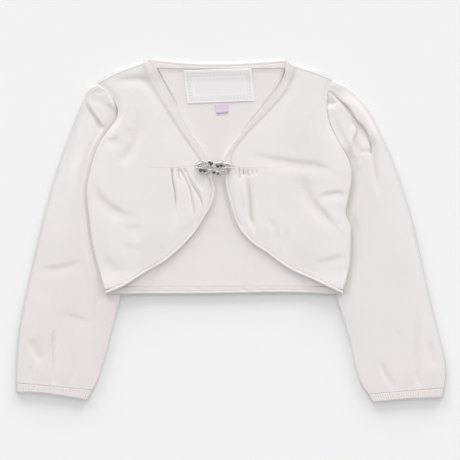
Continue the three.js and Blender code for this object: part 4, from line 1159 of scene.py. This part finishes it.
def build_sleeve(name, material):
    lines = LINES[name]
    outer, inner = lines["sleeve_outer"], lines["sleeve_inner"]
    end = chain_line([outer(1.0), inner(1.0)])
    length = line_length(outer)
    stations = np.append(closer(SLEEVE_RINGS), [0.998, 1])

    def surface(across, rings):
        grid = patch(outer, inner, chain_line(lines["sleeve_seam"]), end, rings, across)
        return grid.transpose(1, 0, 2)

    def height_at(u, v, place):
        y = place[..., 1]
        from_head = length * u
        loft = SLEEVE_LOFT * (1 - (2 * v - 1) ** 4) * (1 - 0.75 * smooth(0.45, 1, u))
        edge = smooth(0, 0.06, np.minimum(v, 1 - v))
        folded = fold_height(SLEEVE_FOLDS[name], place) * smooth(-1, 3, from_head)
        folded += uneven("sleeve", place, HALVES[name]["side"])
        clear = smooth(lines["cross_y"] + 1, lines["cross_y"] + 25, y)
        head = (1 - smooth(0, HEAD_RUN, u)) * clear
        soft = loft + folded * edge + head_gather(u, v) + tuck_height(SLEEVE_TUCKS[name], place) * edge
        most = np.where(soft > 0, *SLEEVE_MOST)
        rise = most * np.tanh(soft / most)
        deep, roll, low, high = ARMHOLE_SEAMS[name]
        seam = (deep * bell(from_head, 0.9) - roll * bell(from_head - 2.2, 1.1)) * between(low, high, y, 6, 6)
        rim = rounded(from_head, 0.15) + rounded(length - from_head, 0.5)
        fade = sleeve_fade(name, place) * (1 - 0.6 * smooth(0.94, 1, u))
        away = from_body(name, place)
        swell, low, high, lap = SWELLS[name]
        swell = swell * smooth(*lap, away) * bell(away, 9) * between(low, high, y, 16, 8)
        joined = np.minimum(over(place) + CLOTH + HEAD_JOINED, HEAD_MOST)
        tall = mix(SLEEVE_FLAT + rise * fade + swell, joined + 0.4 * (rise - loft), head) - seam - rim
        start, most = SLEEVE_SHADE[name]
        strong, wide, fading, faded = SIDE_SHADES[name]
        beside = rim_shade_mask(np.maximum(away, 0), wide, strong) * (1 - clear) * (y > HEM_Y)
        beside = beside * (1 - smooth(fading, faded, y))
        # The Crease mask: painted shade in the folds and beside the body, and darker towards the cuff
        return tall, crease_shade_mask(folded * fade) + most * smooth(start, start + 0.4, u) + beside

    parts = flat_tube(surface, stations, SLEEVE_WIDTH, height_at, length)
    thing = tube(f"sleeve_{name}_cloth", *parts)
    return finished(thing, material, "knit", f"sleeve_{name}")


CUFF_WIDTH, CUFF_LENGTH = 75, 10
CUFF_RIBS = 32
RIB_RISE = 0.3
CUFF_LOFT = 0.3


def build_cuff(name, material):
    half = HALVES[name]
    ends = np.array([half["sleeve_outer"][-1], half["sleeve_inner"][-1]], float)
    seam = chain_line(ends - (0, SHOWN_SEAM))
    fold = LINES[name]["cuff_end"]
    stations = closer([(0.04, 3), (0.94, 16), (1, 4)])

    def surface(across, rings):
        return mix(seam(across)[None], fold(across)[None], rings[:, None, None])

    def height_at(u, v, place):
        ribs = 0.5 - 0.5 * np.cos(2 * math.pi * (CUFF_RIBS - 1) * (v - 0.02) / 0.96)
        depth = rim_distance(place)
        drop = rounded(depth["top"], 0.2) + rounded(depth["bottom"], 1.0)
        tall = SLEEVE_FLAT + CUFF_LOFT * (1 - (2 * v - 1) ** 4) + RIB_RISE * (ribs - 0.35) - drop
        # The Crease mask: 0.12 over the whole cuff, and painted shade in the hollows between its ribs
        return tall, 0.12 + 0.1 * (1 - ribs)

    parts = flat_tube(surface, stations, CUFF_WIDTH, height_at, CUFF_LENGTH, top_count=250, under_count=24,
                      coarse=1)
    thing = tube(f"cuff_{name}_cloth", *parts)
    return finished(thing, material, "cuff_rib", f"cuff_{name}")


# Label and tab

LABEL_CORNERS = [(-47.5, 159.4), (20.4, 161.8), (23.8, 129), (-43.6, 126.4)]
LABEL_SIZE = (68.0, 33.0)
LABEL_BOW = 0.1
LABEL_CLOTH = 0.35
TAB_CORNERS = [(-16.4, 125.8), (-3.2, 126.2), (-2.8, 117.4), (-14.6, 116)]
TAB_SIZE = (13.2, 9.4)
TAB_KICK = 0.3


def build_tape(name, corners, size, lift, material):
    """A small woven piece that lies on the back, with its own flat size as its cut."""
    top_left, top_right, low_right, low_left = corners
    u, v = spaced(size[0]), spaced(size[1])
    place = patch(chain_line([top_left, top_right]), chain_line([low_left, low_right]),
                  chain_line([top_left, low_left]), chain_line([top_right, low_right]), u, v)
    under = back_top(place) + 0.1 + lift(u[None], v[:, None])
    rim = rim_distance(place)
    near_rim = np.minimum.reduce([*rim.values()])
    top = under + LABEL_CLOTH - rounded(near_rim, 0.3)
    cut = np.dstack(np.broadcast_arrays(u[None] * size[0], (1 - v[:, None]) * size[1]))
    return finished(shell(f"{name}_tape", place, under, top, cut), material, name, name)


# Clasp and stones

# Leaves of each half: centre x and y from the clasp's middle, half-length, half-width, turn in degrees.
CLASP_LEAVES = {
    "hook_half": [
        (-13.5, 2.8, 5.2, 2.1, 12), (-14.2, -1.4, 5.0, 1.9, -8), (-9.5, 4.6, 4.6, 1.9, -28),
        (-10.5, -4.2, 4.4, 2.1, -38), (-7.0, 0.4, 5.4, 3.0, 10), (-4.6, 5.0, 3.0, 2.2, 30),
        (-4.6, -3.2, 3.4, 2.0, 18),
    ],
    "eye_half": [
        (13.2, 2.6, 4.8, 2.0, -14), (13.4, -0.9, 5.0, 1.7, 4), (8.8, -4.4, 4.8, 1.9, 16),
        (6.6, 3.4, 4.4, 2.4, 8), (5.6, -0.6, 5.2, 2.6, -14), (3.6, -5.4, 3.6, 2.0, -24),
        (2.6, 3.2, 2.4, 2.0, 50),
    ],
}
CLASP_STONES = {"hook_half": (0, 1, 2, 3), "eye_half": (4, 5, 6, 7)}
# Stones: centre x and y from the clasp's middle, and radius.
STONES = [
    (-13.1, -3.0, 1.5), (-9.4, -3.2, 1.3), (-4.5, 5.3, 1.0), (-2.5, 3.7, 1.3),
    (3.7, 1.4, 1.4), (7.2, 2.0, 1.4), (0.1, -5.1, 1.3), (3.9, -6.4, 1.0),
]
CLASP_BASE = 4.25
CLASP_THICK = 1.5
HOOK_SPAN = (-6.4, 5.5)
HOOK_ROOT = 2.2
HOOK_HALF_WIDTH = 1.2
HOOK_LOW, HOOK_TOP = 3.3, 4.0


def turned(points, degrees):
    angle = math.radians(degrees)
    turn = np.array([[math.cos(angle), -math.sin(angle)], [math.sin(angle), math.cos(angle)]])
    return points @ turn.T


def full_turn(count):
    return np.linspace(0, 2 * math.pi, count, endpoint=False)


def ring_at(x, y, radius, angle, height):
    """One ring of points round a place that is given from the clasp's middle."""
    across = CLASP_CENTRE[0] + x + radius * np.cos(angle)
    up = CLASP_CENTRE[1] + y + radius * np.sin(angle)
    return np.column_stack([across, up, np.broadcast_to(height, angle.shape)])


def leaf_mesh(x, y, length, width, turn):
    """One cast leaf: pointed at both ends, ridged down its middle, with small side veins."""
    rows, around = 33, 20
    along = np.linspace(-1, 1, rows)[:, None]
    round_ = full_turn(around)[None]
    wide = np.maximum(1 - np.abs(along) ** 1.7, 0.02) ** 0.8
    across = np.cos(round_) * wide
    lens = np.sin(round_) * np.sqrt(wide)
    vein = 0.5 - 0.5 * np.cos(9 * math.pi * (along - 0.55 * np.abs(across)))
    side = np.maximum(lens, 0) * (1 - np.abs(np.cos(round_)) ** 2)
    groove = 0.22 * vein * side + 0.24 * np.exp(-((across / 0.1) ** 2)) * side
    plan = np.dstack(np.broadcast_arrays(along * length, across * width)).reshape(-1, 2)
    plan = turned(plan, turn) + (CLASP_CENTRE[0] + x, CLASP_CENTRE[1] + y)
    middle = CLASP_BASE + CLASP_THICK / 2
    height = middle + (CLASP_THICK / 2) * lens - groove
    return np.column_stack([plan, height.ravel()]), capped_faces(rows, around)


def collar_mesh(x, y, radius):
    """The seat of a stone: a low cup with a rim of small grains that hold the stone."""
    turn = full_turn(40)
    profile = [(0.7, -0.2), (1.06, 0.0), (1.2, 0.35), (1.2, 0.62), (1.1, 0.74), (0.98, 0.7), (0.94, 0.5)]
    low = CLASP_BASE + CLASP_THICK - 0.45
    vertices = []
    for i, (out, up) in enumerate(profile):
        grain = 0.05 * np.cos(turn * 12) * (i in (3, 4, 5))
        vertices.append(ring_at(x, y, (out + grain) * radius, turn, low + up + grain))
    return np.vstack(vertices), capped_faces(len(profile), len(turn))


def hook_mesh():
    """The hook: a round-edged tongue under the clasp and the root that carries it."""
    rows, around = 17, 20
    along, turn = np.linspace(0, 1, rows), full_turn(around)
    close = np.sqrt(1 - np.maximum(0, np.abs(2 * along - 1) * 1.12 - 0.12) ** 4 * 0.94)[:, None]
    wide, tall = (np.sign(wave) * np.abs(wave) ** 0.6 for wave in (np.cos(turn), np.sin(turn)))
    root = HOOK_SPAN[0], HOOK_SPAN[0] + HOOK_ROOT
    parts = []
    for start, end, low, high in ((*HOOK_SPAN, HOOK_LOW, HOOK_TOP), (*root, HOOK_LOW, CLASP_BASE + 0.7)):
        x = np.broadcast_to(mix(start, end, along)[:, None], (rows, around)) + CLASP_CENTRE[0]
        y = CLASP_CENTRE[1] + HOOK_HALF_WIDTH * wide * close
        z = (low + high) / 2 + (high - low) / 2 * tall * close
        parts.append((np.dstack([x, y, z]).reshape(-1, 3), capped_faces(rows, around)))
    return parts


def joined_object(name, parts):
    """One mesh from several closed ones, each wound outwards."""
    vertices, faces = [], []
    for points, polygons in parts:
        volume = 0.0
        for polygon in polygons:
            a = points[polygon[0]]
            for b, c in zip(polygon[1:], polygon[2:]):
                volume += float(np.dot(a, np.cross(points[b], points[c])))
        offset = len(vertices)
        vertices += points.tolist()
        order = 1 if volume > 0 else -1
        faces += [[k + offset for k in polygon[::order]] for polygon in polygons]
    return linked(name, smooth_mesh(name, vertices, faces, 60))


def build_clasp_half(name, material):
    parts = [leaf_mesh(*row) for row in CLASP_LEAVES[name]]
    parts += [collar_mesh(*STONES[i]) for i in CLASP_STONES[name]]
    if name == "hook_half":
        parts += hook_mesh()
    return finished(joined_object(f"clasp_{name}_cast", parts), material, "clasp_metal", f"clasp_{name}")


def build_stone(index, material):
    """A round stone cut with a flat table, eight sides, a girdle and a narrower underside."""
    x, y, radius = STONES[index]
    low = CLASP_BASE + CLASP_THICK + 0.1
    sides = 8
    rings = [(0.5, -0.15, 0), (0.98, 0.35, 0.5), (1.0, 0.5, 0.5), (0.82, 0.82, 0), (0.56, 0.98, 0.5)]
    vertices = []
    for out, up, shift in rings:
        angle = (np.arange(sides) + shift) * 2 * math.pi / sides + index
        vertices.append(ring_at(x, y, 0.96 * out * radius, angle, low + 0.95 * up * radius))
    part = (np.vstack(vertices), capped_faces(len(rings), sides))
    thing = joined_object(f"clasp_stone_{index + 1}_cut", [part])
    thing.data.shade_flat()
    return finished(thing, material, "clasp_stone", f"clasp_stone_{index + 1}")


def metal_material(name, colour, roughness):
    """Cast metal: bright on its crests, dull and dark in its hollows from antiquing and painted shade, with a
    fine worn grain.
    """
    material, nodes, shader = new_material(name, Metallic=1.0)
    place = nodes.texture_place()
    grain = nodes.noise(place, 2600.0, 3.0, 0.6)
    patches = nodes.noise(place, 420.0, 2.0, 0.5)
    pointy = nodes.add("ShaderNodeNewGeometry").outputs["Pointiness"]
    # Dark hollows: partly antiquing, partly painted shade
    hollow = nodes.ramp(pointy, 0.42, 0.53)
    shade = nodes.times(hollow, nodes.ramp(patches, 0.25, 0.6, 0.55, 1.0))
    nodes.feed(shader["Base Color"], nodes.blend(shade, rgba(colour, 0.22), rgba(colour)))
    nodes.feed(shader["Roughness"], nodes.ramp(grain, 0.3, 0.7, roughness, roughness + 0.2))
    bump(nodes, shader, grain, 0.25, 0.00008)
    return material


def stone_material(name, colour):
    """Dark cut stone, its tint a little uneven, polished on every facet."""
    material, nodes, shader = new_material(name, IOR=1.6, Coat_Weight=0.4, Coat_Roughness=0.04)
    cloud = nodes.ramp(nodes.noise(nodes.texture_place(), 700.0, 2.0, 0.5), 0.3, 0.7)
    nodes.feed(shader["Base Color"], nodes.blend(cloud, rgba(colour, 0.5), rgba(colour)))
    nodes.feed(shader["Roughness"], nodes.ramp(cloud, 0, 1, 0.05, 0.14))
    return material


def band_mask(nodes, value, middle, half_width, soft=0.15):
    """1 within half_width of middle, 0 outside, in millimetres."""
    away = nodes.math("ABSOLUTE", nodes.math("SUBTRACT", value, middle))
    return nodes.ramp(away, half_width - soft, half_width + soft, 1.0, 0.0)


def crossed(nodes, first, second, pitch):
    """Two sets of waves multiplied, each half a wave wide by the pitch."""
    return nodes.times(nodes.wave(first, math.pi / pitch), nodes.wave(second, math.pi / pitch))


def weave(nodes, x, y, pitch):
    """The relief of a plain woven tape, from places in millimetres."""
    return nodes.math("MULTIPLY_ADD", crossed(nodes, x, y, pitch / 2), 0.5, 0.5)


def tape_places(nodes):
    """Places on a tape in millimetres across and up, from its own UV map."""
    split = nodes.add("ShaderNodeSeparateXYZ")
    nodes.feed(split.inputs[0], cut_coordinates(nodes))
    return (nodes.times(split.outputs[k], 1 / MM) for k in ("X", "Y"))


def label_material(name, ground, ornament):
    """White woven tape with a generic border of scallops, rings and dots, and a faint lattice inside it."""
    material, nodes, shader = new_material(name, Specular_IOR_Level=0.3)
    x, y = tape_places(nodes)
    from_side = nodes.math("MINIMUM", x, nodes.math("SUBTRACT", LABEL_SIZE[0], x))
    from_end = nodes.math("MINIMUM", y, nodes.math("SUBTRACT", LABEL_SIZE[1], y))
    from_rim = nodes.math("MINIMUM", from_side, from_end)
    along = nodes.blend(nodes.math("LESS_THAN", from_side, from_end), x, y, "FLOAT")
    wave = nodes.math("ABSOLUTE", nodes.wave(along, math.pi / 3.1))
    scallop = band_mask(nodes, nodes.math("MULTIPLY_ADD", wave, -1.3, from_rim), 2.9, 0.32)
    inner = band_mask(nodes, nodes.math("MULTIPLY_ADD", wave, 0.9, from_rim), 6.1, 0.26)
    rings = nodes.math("ABSOLUTE", crossed(nodes, x, y, 1.3))
    lace = nodes.times(nodes.ramp(rings, 0.35, 0.75), band_mask(nodes, from_rim, 4.6, 2.6))
    lattice = crossed(nodes, nodes.math("ADD", x, y), nodes.math("SUBTRACT", x, y), 2.1)
    middle = nodes.times(nodes.ramp(nodes.math("ABSOLUTE", lattice), 0.45, 0.1),
                         nodes.ramp(from_rim, 8.0, 9.0, 0.0, 0.7))
    lines = (band_mask(nodes, from_rim, 2.3, 0.16), band_mask(nodes, from_rim, 6.9, 0.14))
    dots = nodes.times(nodes.ramp(wave, 0.75, 0.95), band_mask(nodes, from_rim, 3.1, 0.35))
    drawn = nodes.most(scallop, inner, *lines, dots, nodes.times(lace, 0.4), middle)
    relief = weave(nodes, x, y, 0.5)
    shown = nodes.times(drawn, nodes.ramp(relief, 0.0, 0.6, 0.35, 0.8))
    # Painted shade: the weave's hollows are darker
    shade = nodes.blend(nodes.ramp(relief, 0.0, 0.6), rgba(ground, 0.93), rgba(ground))
    nodes.feed(shader["Base Color"], nodes.blend(shown, shade, rgba(ornament)))
    nodes.feed(shader["Roughness"], nodes.ramp(drawn, 0, 1, 0.75, 0.55))
    bump(nodes, shader, nodes.math("MULTIPLY_ADD", drawn, 0.6, relief), 0.4, 0.0001)
    return material


def tab_material(name, colour, edge_colour):
    """Lilac woven tape, its folded lower edge darker."""
    material, nodes, shader = new_material(name, Specular_IOR_Level=0.3)
    x, y = tape_places(nodes)
    relief = weave(nodes, x, y, 0.45)
    low = nodes.ramp(y, 0.6, 1.8, 1.0, 0.0)
    # Painted shade: the weave's hollows are darker
    shade = nodes.blend(nodes.ramp(relief, 0.0, 0.6), rgba(colour, 0.9), rgba(colour))
    nodes.feed(shader["Base Color"], nodes.blend(low, shade, rgba(edge_colour)))
    nodes.feed(shader["Roughness"], nodes.ramp(relief, 0, 1, 0.6, 0.8))
    bump(nodes, shader, relief, 0.4, 0.0001)
    return material


# Settings that a user would change


class CLOTH_PG_settings(PropertyGroup):
    knit_colour: FloatVectorProperty(
        name="Knit colour", description="Colour of the knit's right side", subtype="COLOR", size=3,
        min=0, max=1, default=(0.85, 0.815, 0.805))
    inside_colour: FloatVectorProperty(
        name="Inside colour", description="Colour of the knit's inside, on the back", subtype="COLOR", size=3,
        min=0, max=1, default=(0.835, 0.795, 0.775))
    drift_colour: FloatVectorProperty(
        name="Drift colour", description="Colour that the knit drifts towards in slow patches",
        subtype="COLOR", size=3, min=0, max=1, default=(0.83, 0.795, 0.805))
    wale: FloatProperty(
        name="Stitch width", description="Width of one column of stitches", subtype="DISTANCE",
        unit="LENGTH", min=0.0003, max=0.005, default=0.0011, precision=5)
    course: FloatProperty(
        name="Stitch height", description="Height of one row of stitches", subtype="DISTANCE", unit="LENGTH",
        min=0.0003, max=0.005, default=0.0008, precision=5)


class CLASP_PG_settings(PropertyGroup):
    metal_colour: FloatVectorProperty(
        name="Metal colour", description="Colour of the cast leaves", subtype="COLOR", size=3,
        min=0, max=1, default=(0.74, 0.72, 0.71))
    metal_roughness: FloatProperty(
        name="Metal roughness", description="How matt the leaves are", subtype="FACTOR", min=0, max=1,
        default=0.36)
    stone_colour: FloatVectorProperty(
        name="Stone colour", description="Colour of the set stones", subtype="COLOR", size=3,
        min=0, max=1, default=(0.09, 0.07, 0.065))


class STAGE_PG_settings(PropertyGroup):
    floor_colour: FloatVectorProperty(
        name="Floor colour", description="Colour of the pale floor", subtype="COLOR", size=3,
        min=0, max=1, default=(0.90, 0.90, 0.90))
    sky_strength: FloatProperty(
        name="Fill light", description="Strength of the even light from all round", min=0, max=5,
        default=0.68)
    key_strength: FloatProperty(
        name="Main light", description="Strength of the soft light from the neck's side", min=0, max=20,
        default=0.25)
    low_strength: FloatProperty(
        name="Low light", description="Strength of the two soft lights that come in low from the neck's side",
        min=0, max=20, default=0.75)
    low_height: FloatProperty(
        name="Low light height", description="Angle of the low light above the floor", subtype="ANGLE",
        unit="ROTATION", min=0.1, max=1.57, default=math.radians(12))
    key_height: FloatProperty(
        name="Main light height", description="Angle of the main light above the floor", subtype="ANGLE",
        unit="ROTATION", min=0.1, max=1.57, default=math.radians(45))
    camera_height: FloatProperty(
        name="Camera height", description="Height of the camera above the floor", subtype="DISTANCE",
        unit="LENGTH", min=0.5, max=10, default=2.0)
    shown_width: FloatProperty(
        name="Shown width", description="Width of the floor that the picture shows", subtype="DISTANCE",
        unit="LENGTH", min=0.1, max=2, default=0.46)


def knit_for(name, slant=0.7):
    """The knit material of that name: the right side, the inside, or the ribbed cuffs."""
    settings = bpy.context.scene.bolero_cloth
    colour = settings.inside_colour if name == "Knit inside" else settings.knit_colour
    return knit_material(name, tuple(colour), tuple(settings.drift_colour), slant, settings.wale,
                         settings.course)


# Operators, one for each piece or group of like pieces


class BOLERO_OT_back(Operator):
    """Build the back with its neck band and hem band"""

    bl_idname = "bolero.build_back"
    bl_label = "Back and its bands"

    def execute(self, context):
        material = knit_for("Knit inside", slant=0.15)
        back = build_back(material)
        bands = build_back_bands(material)
        return {"FINISHED"}


class BOLERO_OT_fronts(Operator):
    """Build both fronts with their neck bands and front edges"""

    bl_idname = "bolero.build_fronts"
    bl_label = "Fronts, neck bands and front edges"

    def execute(self, context):
        material = knit_for("Knit face")
        for name, flat, area in (("right", (0.124, 0.226), 0.0174), ("left", (0.124, 0.226), 0.018)):
            front = build_front(name, material)
            band = build_neck_band(name, material)
            edge = build_front_edge(name, material)
        return {"FINISHED"}


class BOLERO_OT_sleeves(Operator):
    """Build both sleeves"""

    bl_idname = "bolero.build_sleeves"
    bl_label = "Sleeves"

    def execute(self, context):
        material = knit_for("Knit face")
        for name, area in (("right", 0.0463), ("left", 0.0469)):
            sleeve = build_sleeve(name, material)
        return {"FINISHED"}


class BOLERO_OT_cuffs(Operator):
    """Build both ribbed cuffs"""

    bl_idname = "bolero.build_cuffs"
    bl_label = "Cuffs"

    def execute(self, context):
        material = knit_for("Knit rib")
        for name in HALVES:
            cuff = build_cuff(name, material)
        return {"FINISHED"}


class BOLERO_OT_label(Operator):
    """Build the neck label and the size tab"""

    bl_idname = "bolero.build_label"
    bl_label = "Label and tab"

    def execute(self, context):
        white = label_material("Label tape", linear(243, 241, 241), linear(212, 207, 213))
        lilac = tab_material("Tab tape", linear(222, 208, 226), linear(196, 178, 206))
        label = build_tape("neck_label", LABEL_CORNERS, LABEL_SIZE,
                           lambda u, v: LABEL_BOW * np.sin(math.pi * u), white)
        tab = build_tape("size_tab", TAB_CORNERS, TAB_SIZE, lambda u, v: TAB_KICK * v, lilac)
        return {"FINISHED"}


class BOLERO_OT_clasp(Operator):
    """Build both halves of the clasp and its eight stones"""

    bl_idname = "bolero.build_clasp"
    bl_label = "Clasp and stones"

    def execute(self, context):
        settings = context.scene.bolero_clasp
        metal = metal_material("Cast metal", tuple(settings.metal_colour), settings.metal_roughness)
        stone = stone_material("Dark stone", tuple(settings.stone_colour))
        for name in CLASP_LEAVES:
            build_clasp_half(name, metal)
        for index in range(len(STONES)):
            build_stone(index, stone)
        return {"FINISHED"}


class BOLERO_OT_stage(Operator):
    """Build the floor, the lights and the camera"""

    bl_idname = "bolero.build_stage"
    bl_label = "Floor, lights and camera"

    def execute(self, context):
        settings = context.scene.bolero_stage
        build_floor(tuple(settings.floor_colour))
        build_lights(settings.sky_strength, settings.key_strength, settings.low_strength, settings.key_height,
                     settings.low_height)
        build_camera(settings.camera_height, settings.shown_width)
        return {"FINISHED"}


def build_floor(colour):
    mesh = bpy.data.meshes.new("floor")
    reach = 3.0
    corners = [(-reach, -reach, 0), (reach, -reach, 0), (reach, reach, 0), (-reach, reach, 0)]
    mesh.from_pydata(corners, [], [(0, 1, 2, 3)])
    floor = linked("floor", mesh)
    material, nodes, shader = new_material("Pale floor", Specular_IOR_Level=0.1)
    cloud = nodes.noise(nodes.texture_place(), 3.0, 2.0, 0.5)
    nodes.feed(shader["Base Color"], nodes.blend(cloud, rgba(colour, 0.995), rgba(colour)))
    nodes.feed(shader["Roughness"], nodes.ramp(cloud, 0, 1, 0.9, 0.95))
    floor.data.materials.append(material)


def build_lights(sky, key, low_key, key_height, low_height):
    """Even light from all round, a soft sun from the neck's side and two lower, softer ones beside it."""
    scene = bpy.context.scene
    world = bpy.data.worlds.new("Soft studio")
    world.use_nodes = True
    back = world.node_tree.nodes["Background"]
    back.inputs["Color"].default_value = (1.0, 1.0, 1.0, 1)
    back.inputs["Strength"].default_value = sky
    scene.world = world
    # Columns: name, strength, height, how wide the light is and how far it is turned, both in degrees
    suns = [("high", key, key_height, 50, 0), ("low_left", low_key / 2, low_height, 24, -24),
            ("low_right", low_key / 2, low_height, 24, 24)]
    for name, share, height, spread, turn in suns:
        sun = bpy.data.lights.new(f"key_{name}", "SUN")
        sun.energy = share / math.sin(height)
        sun.angle = math.radians(spread)
        lamp = linked(f"key_{name}", sun)
        lamp.rotation_euler = (-(math.pi / 2 - height), 0, math.radians(turn))
    scene.view_settings.view_transform = "Standard"
    scene.view_settings.look = "None"


def build_camera(height, width):
    """A camera straight over the middle of the picture, looking down, with the neck at the top."""
    camera = bpy.data.cameras.new("camera")
    camera.sensor_width = 36
    camera.lens = 36 * height / width
    camera.clip_end = 100
    eye = linked("camera", camera)
    eye.location = (-0.001, 0.0, height)
    bpy.context.scene.camera = eye


BUILDERS = (BOLERO_OT_sleeves, BOLERO_OT_cuffs, BOLERO_OT_back, BOLERO_OT_fronts, BOLERO_OT_label,
            BOLERO_OT_clasp, BOLERO_OT_stage)


class BOLERO_PT_panel(Panel):
    """The bolero's sizes, colours and build steps"""

    bl_idname = "BOLERO_PT_panel"
    bl_label = "Knitted bolero"
    bl_space_type = "VIEW_3D"
    bl_region_type = "UI"
    bl_category = "Bolero"

    def draw(self, context):
        layout = self.layout
        scene = context.scene
        for settings in (scene.bolero_cloth, scene.bolero_clasp, scene.bolero_stage):
            box = layout.box()
            for name in settings.__annotations__:
                box.prop(settings, name)
        for builder in BUILDERS:
            layout.operator(builder.bl_idname)


CLASSES = (CLOTH_PG_settings, CLASP_PG_settings, STAGE_PG_settings, *BUILDERS, BOLERO_PT_panel)


def register():
    for kind in CLASSES:
        bpy.utils.register_class(kind)
    bpy.types.Scene.bolero_cloth = PointerProperty(type=CLOTH_PG_settings)
    bpy.types.Scene.bolero_clasp = PointerProperty(type=CLASP_PG_settings)
    bpy.types.Scene.bolero_stage = PointerProperty(type=STAGE_PG_settings)


def unregister():
    for name in ("bolero_cloth", "bolero_clasp", "bolero_stage"):
        delattr(bpy.types.Scene, name)
    for kind in reversed(CLASSES):
        bpy.utils.unregister_class(kind)


def main():
    register()
    bpy.ops.bolero.build_sleeves()
    bpy.ops.bolero.build_cuffs()
    bpy.ops.bolero.build_back()
    bpy.ops.bolero.build_fronts()
    bpy.ops.bolero.build_label()
    bpy.ops.bolero.build_clasp()
    bpy.ops.bolero.build_stage()


if __name__ == "__main__":
    main()
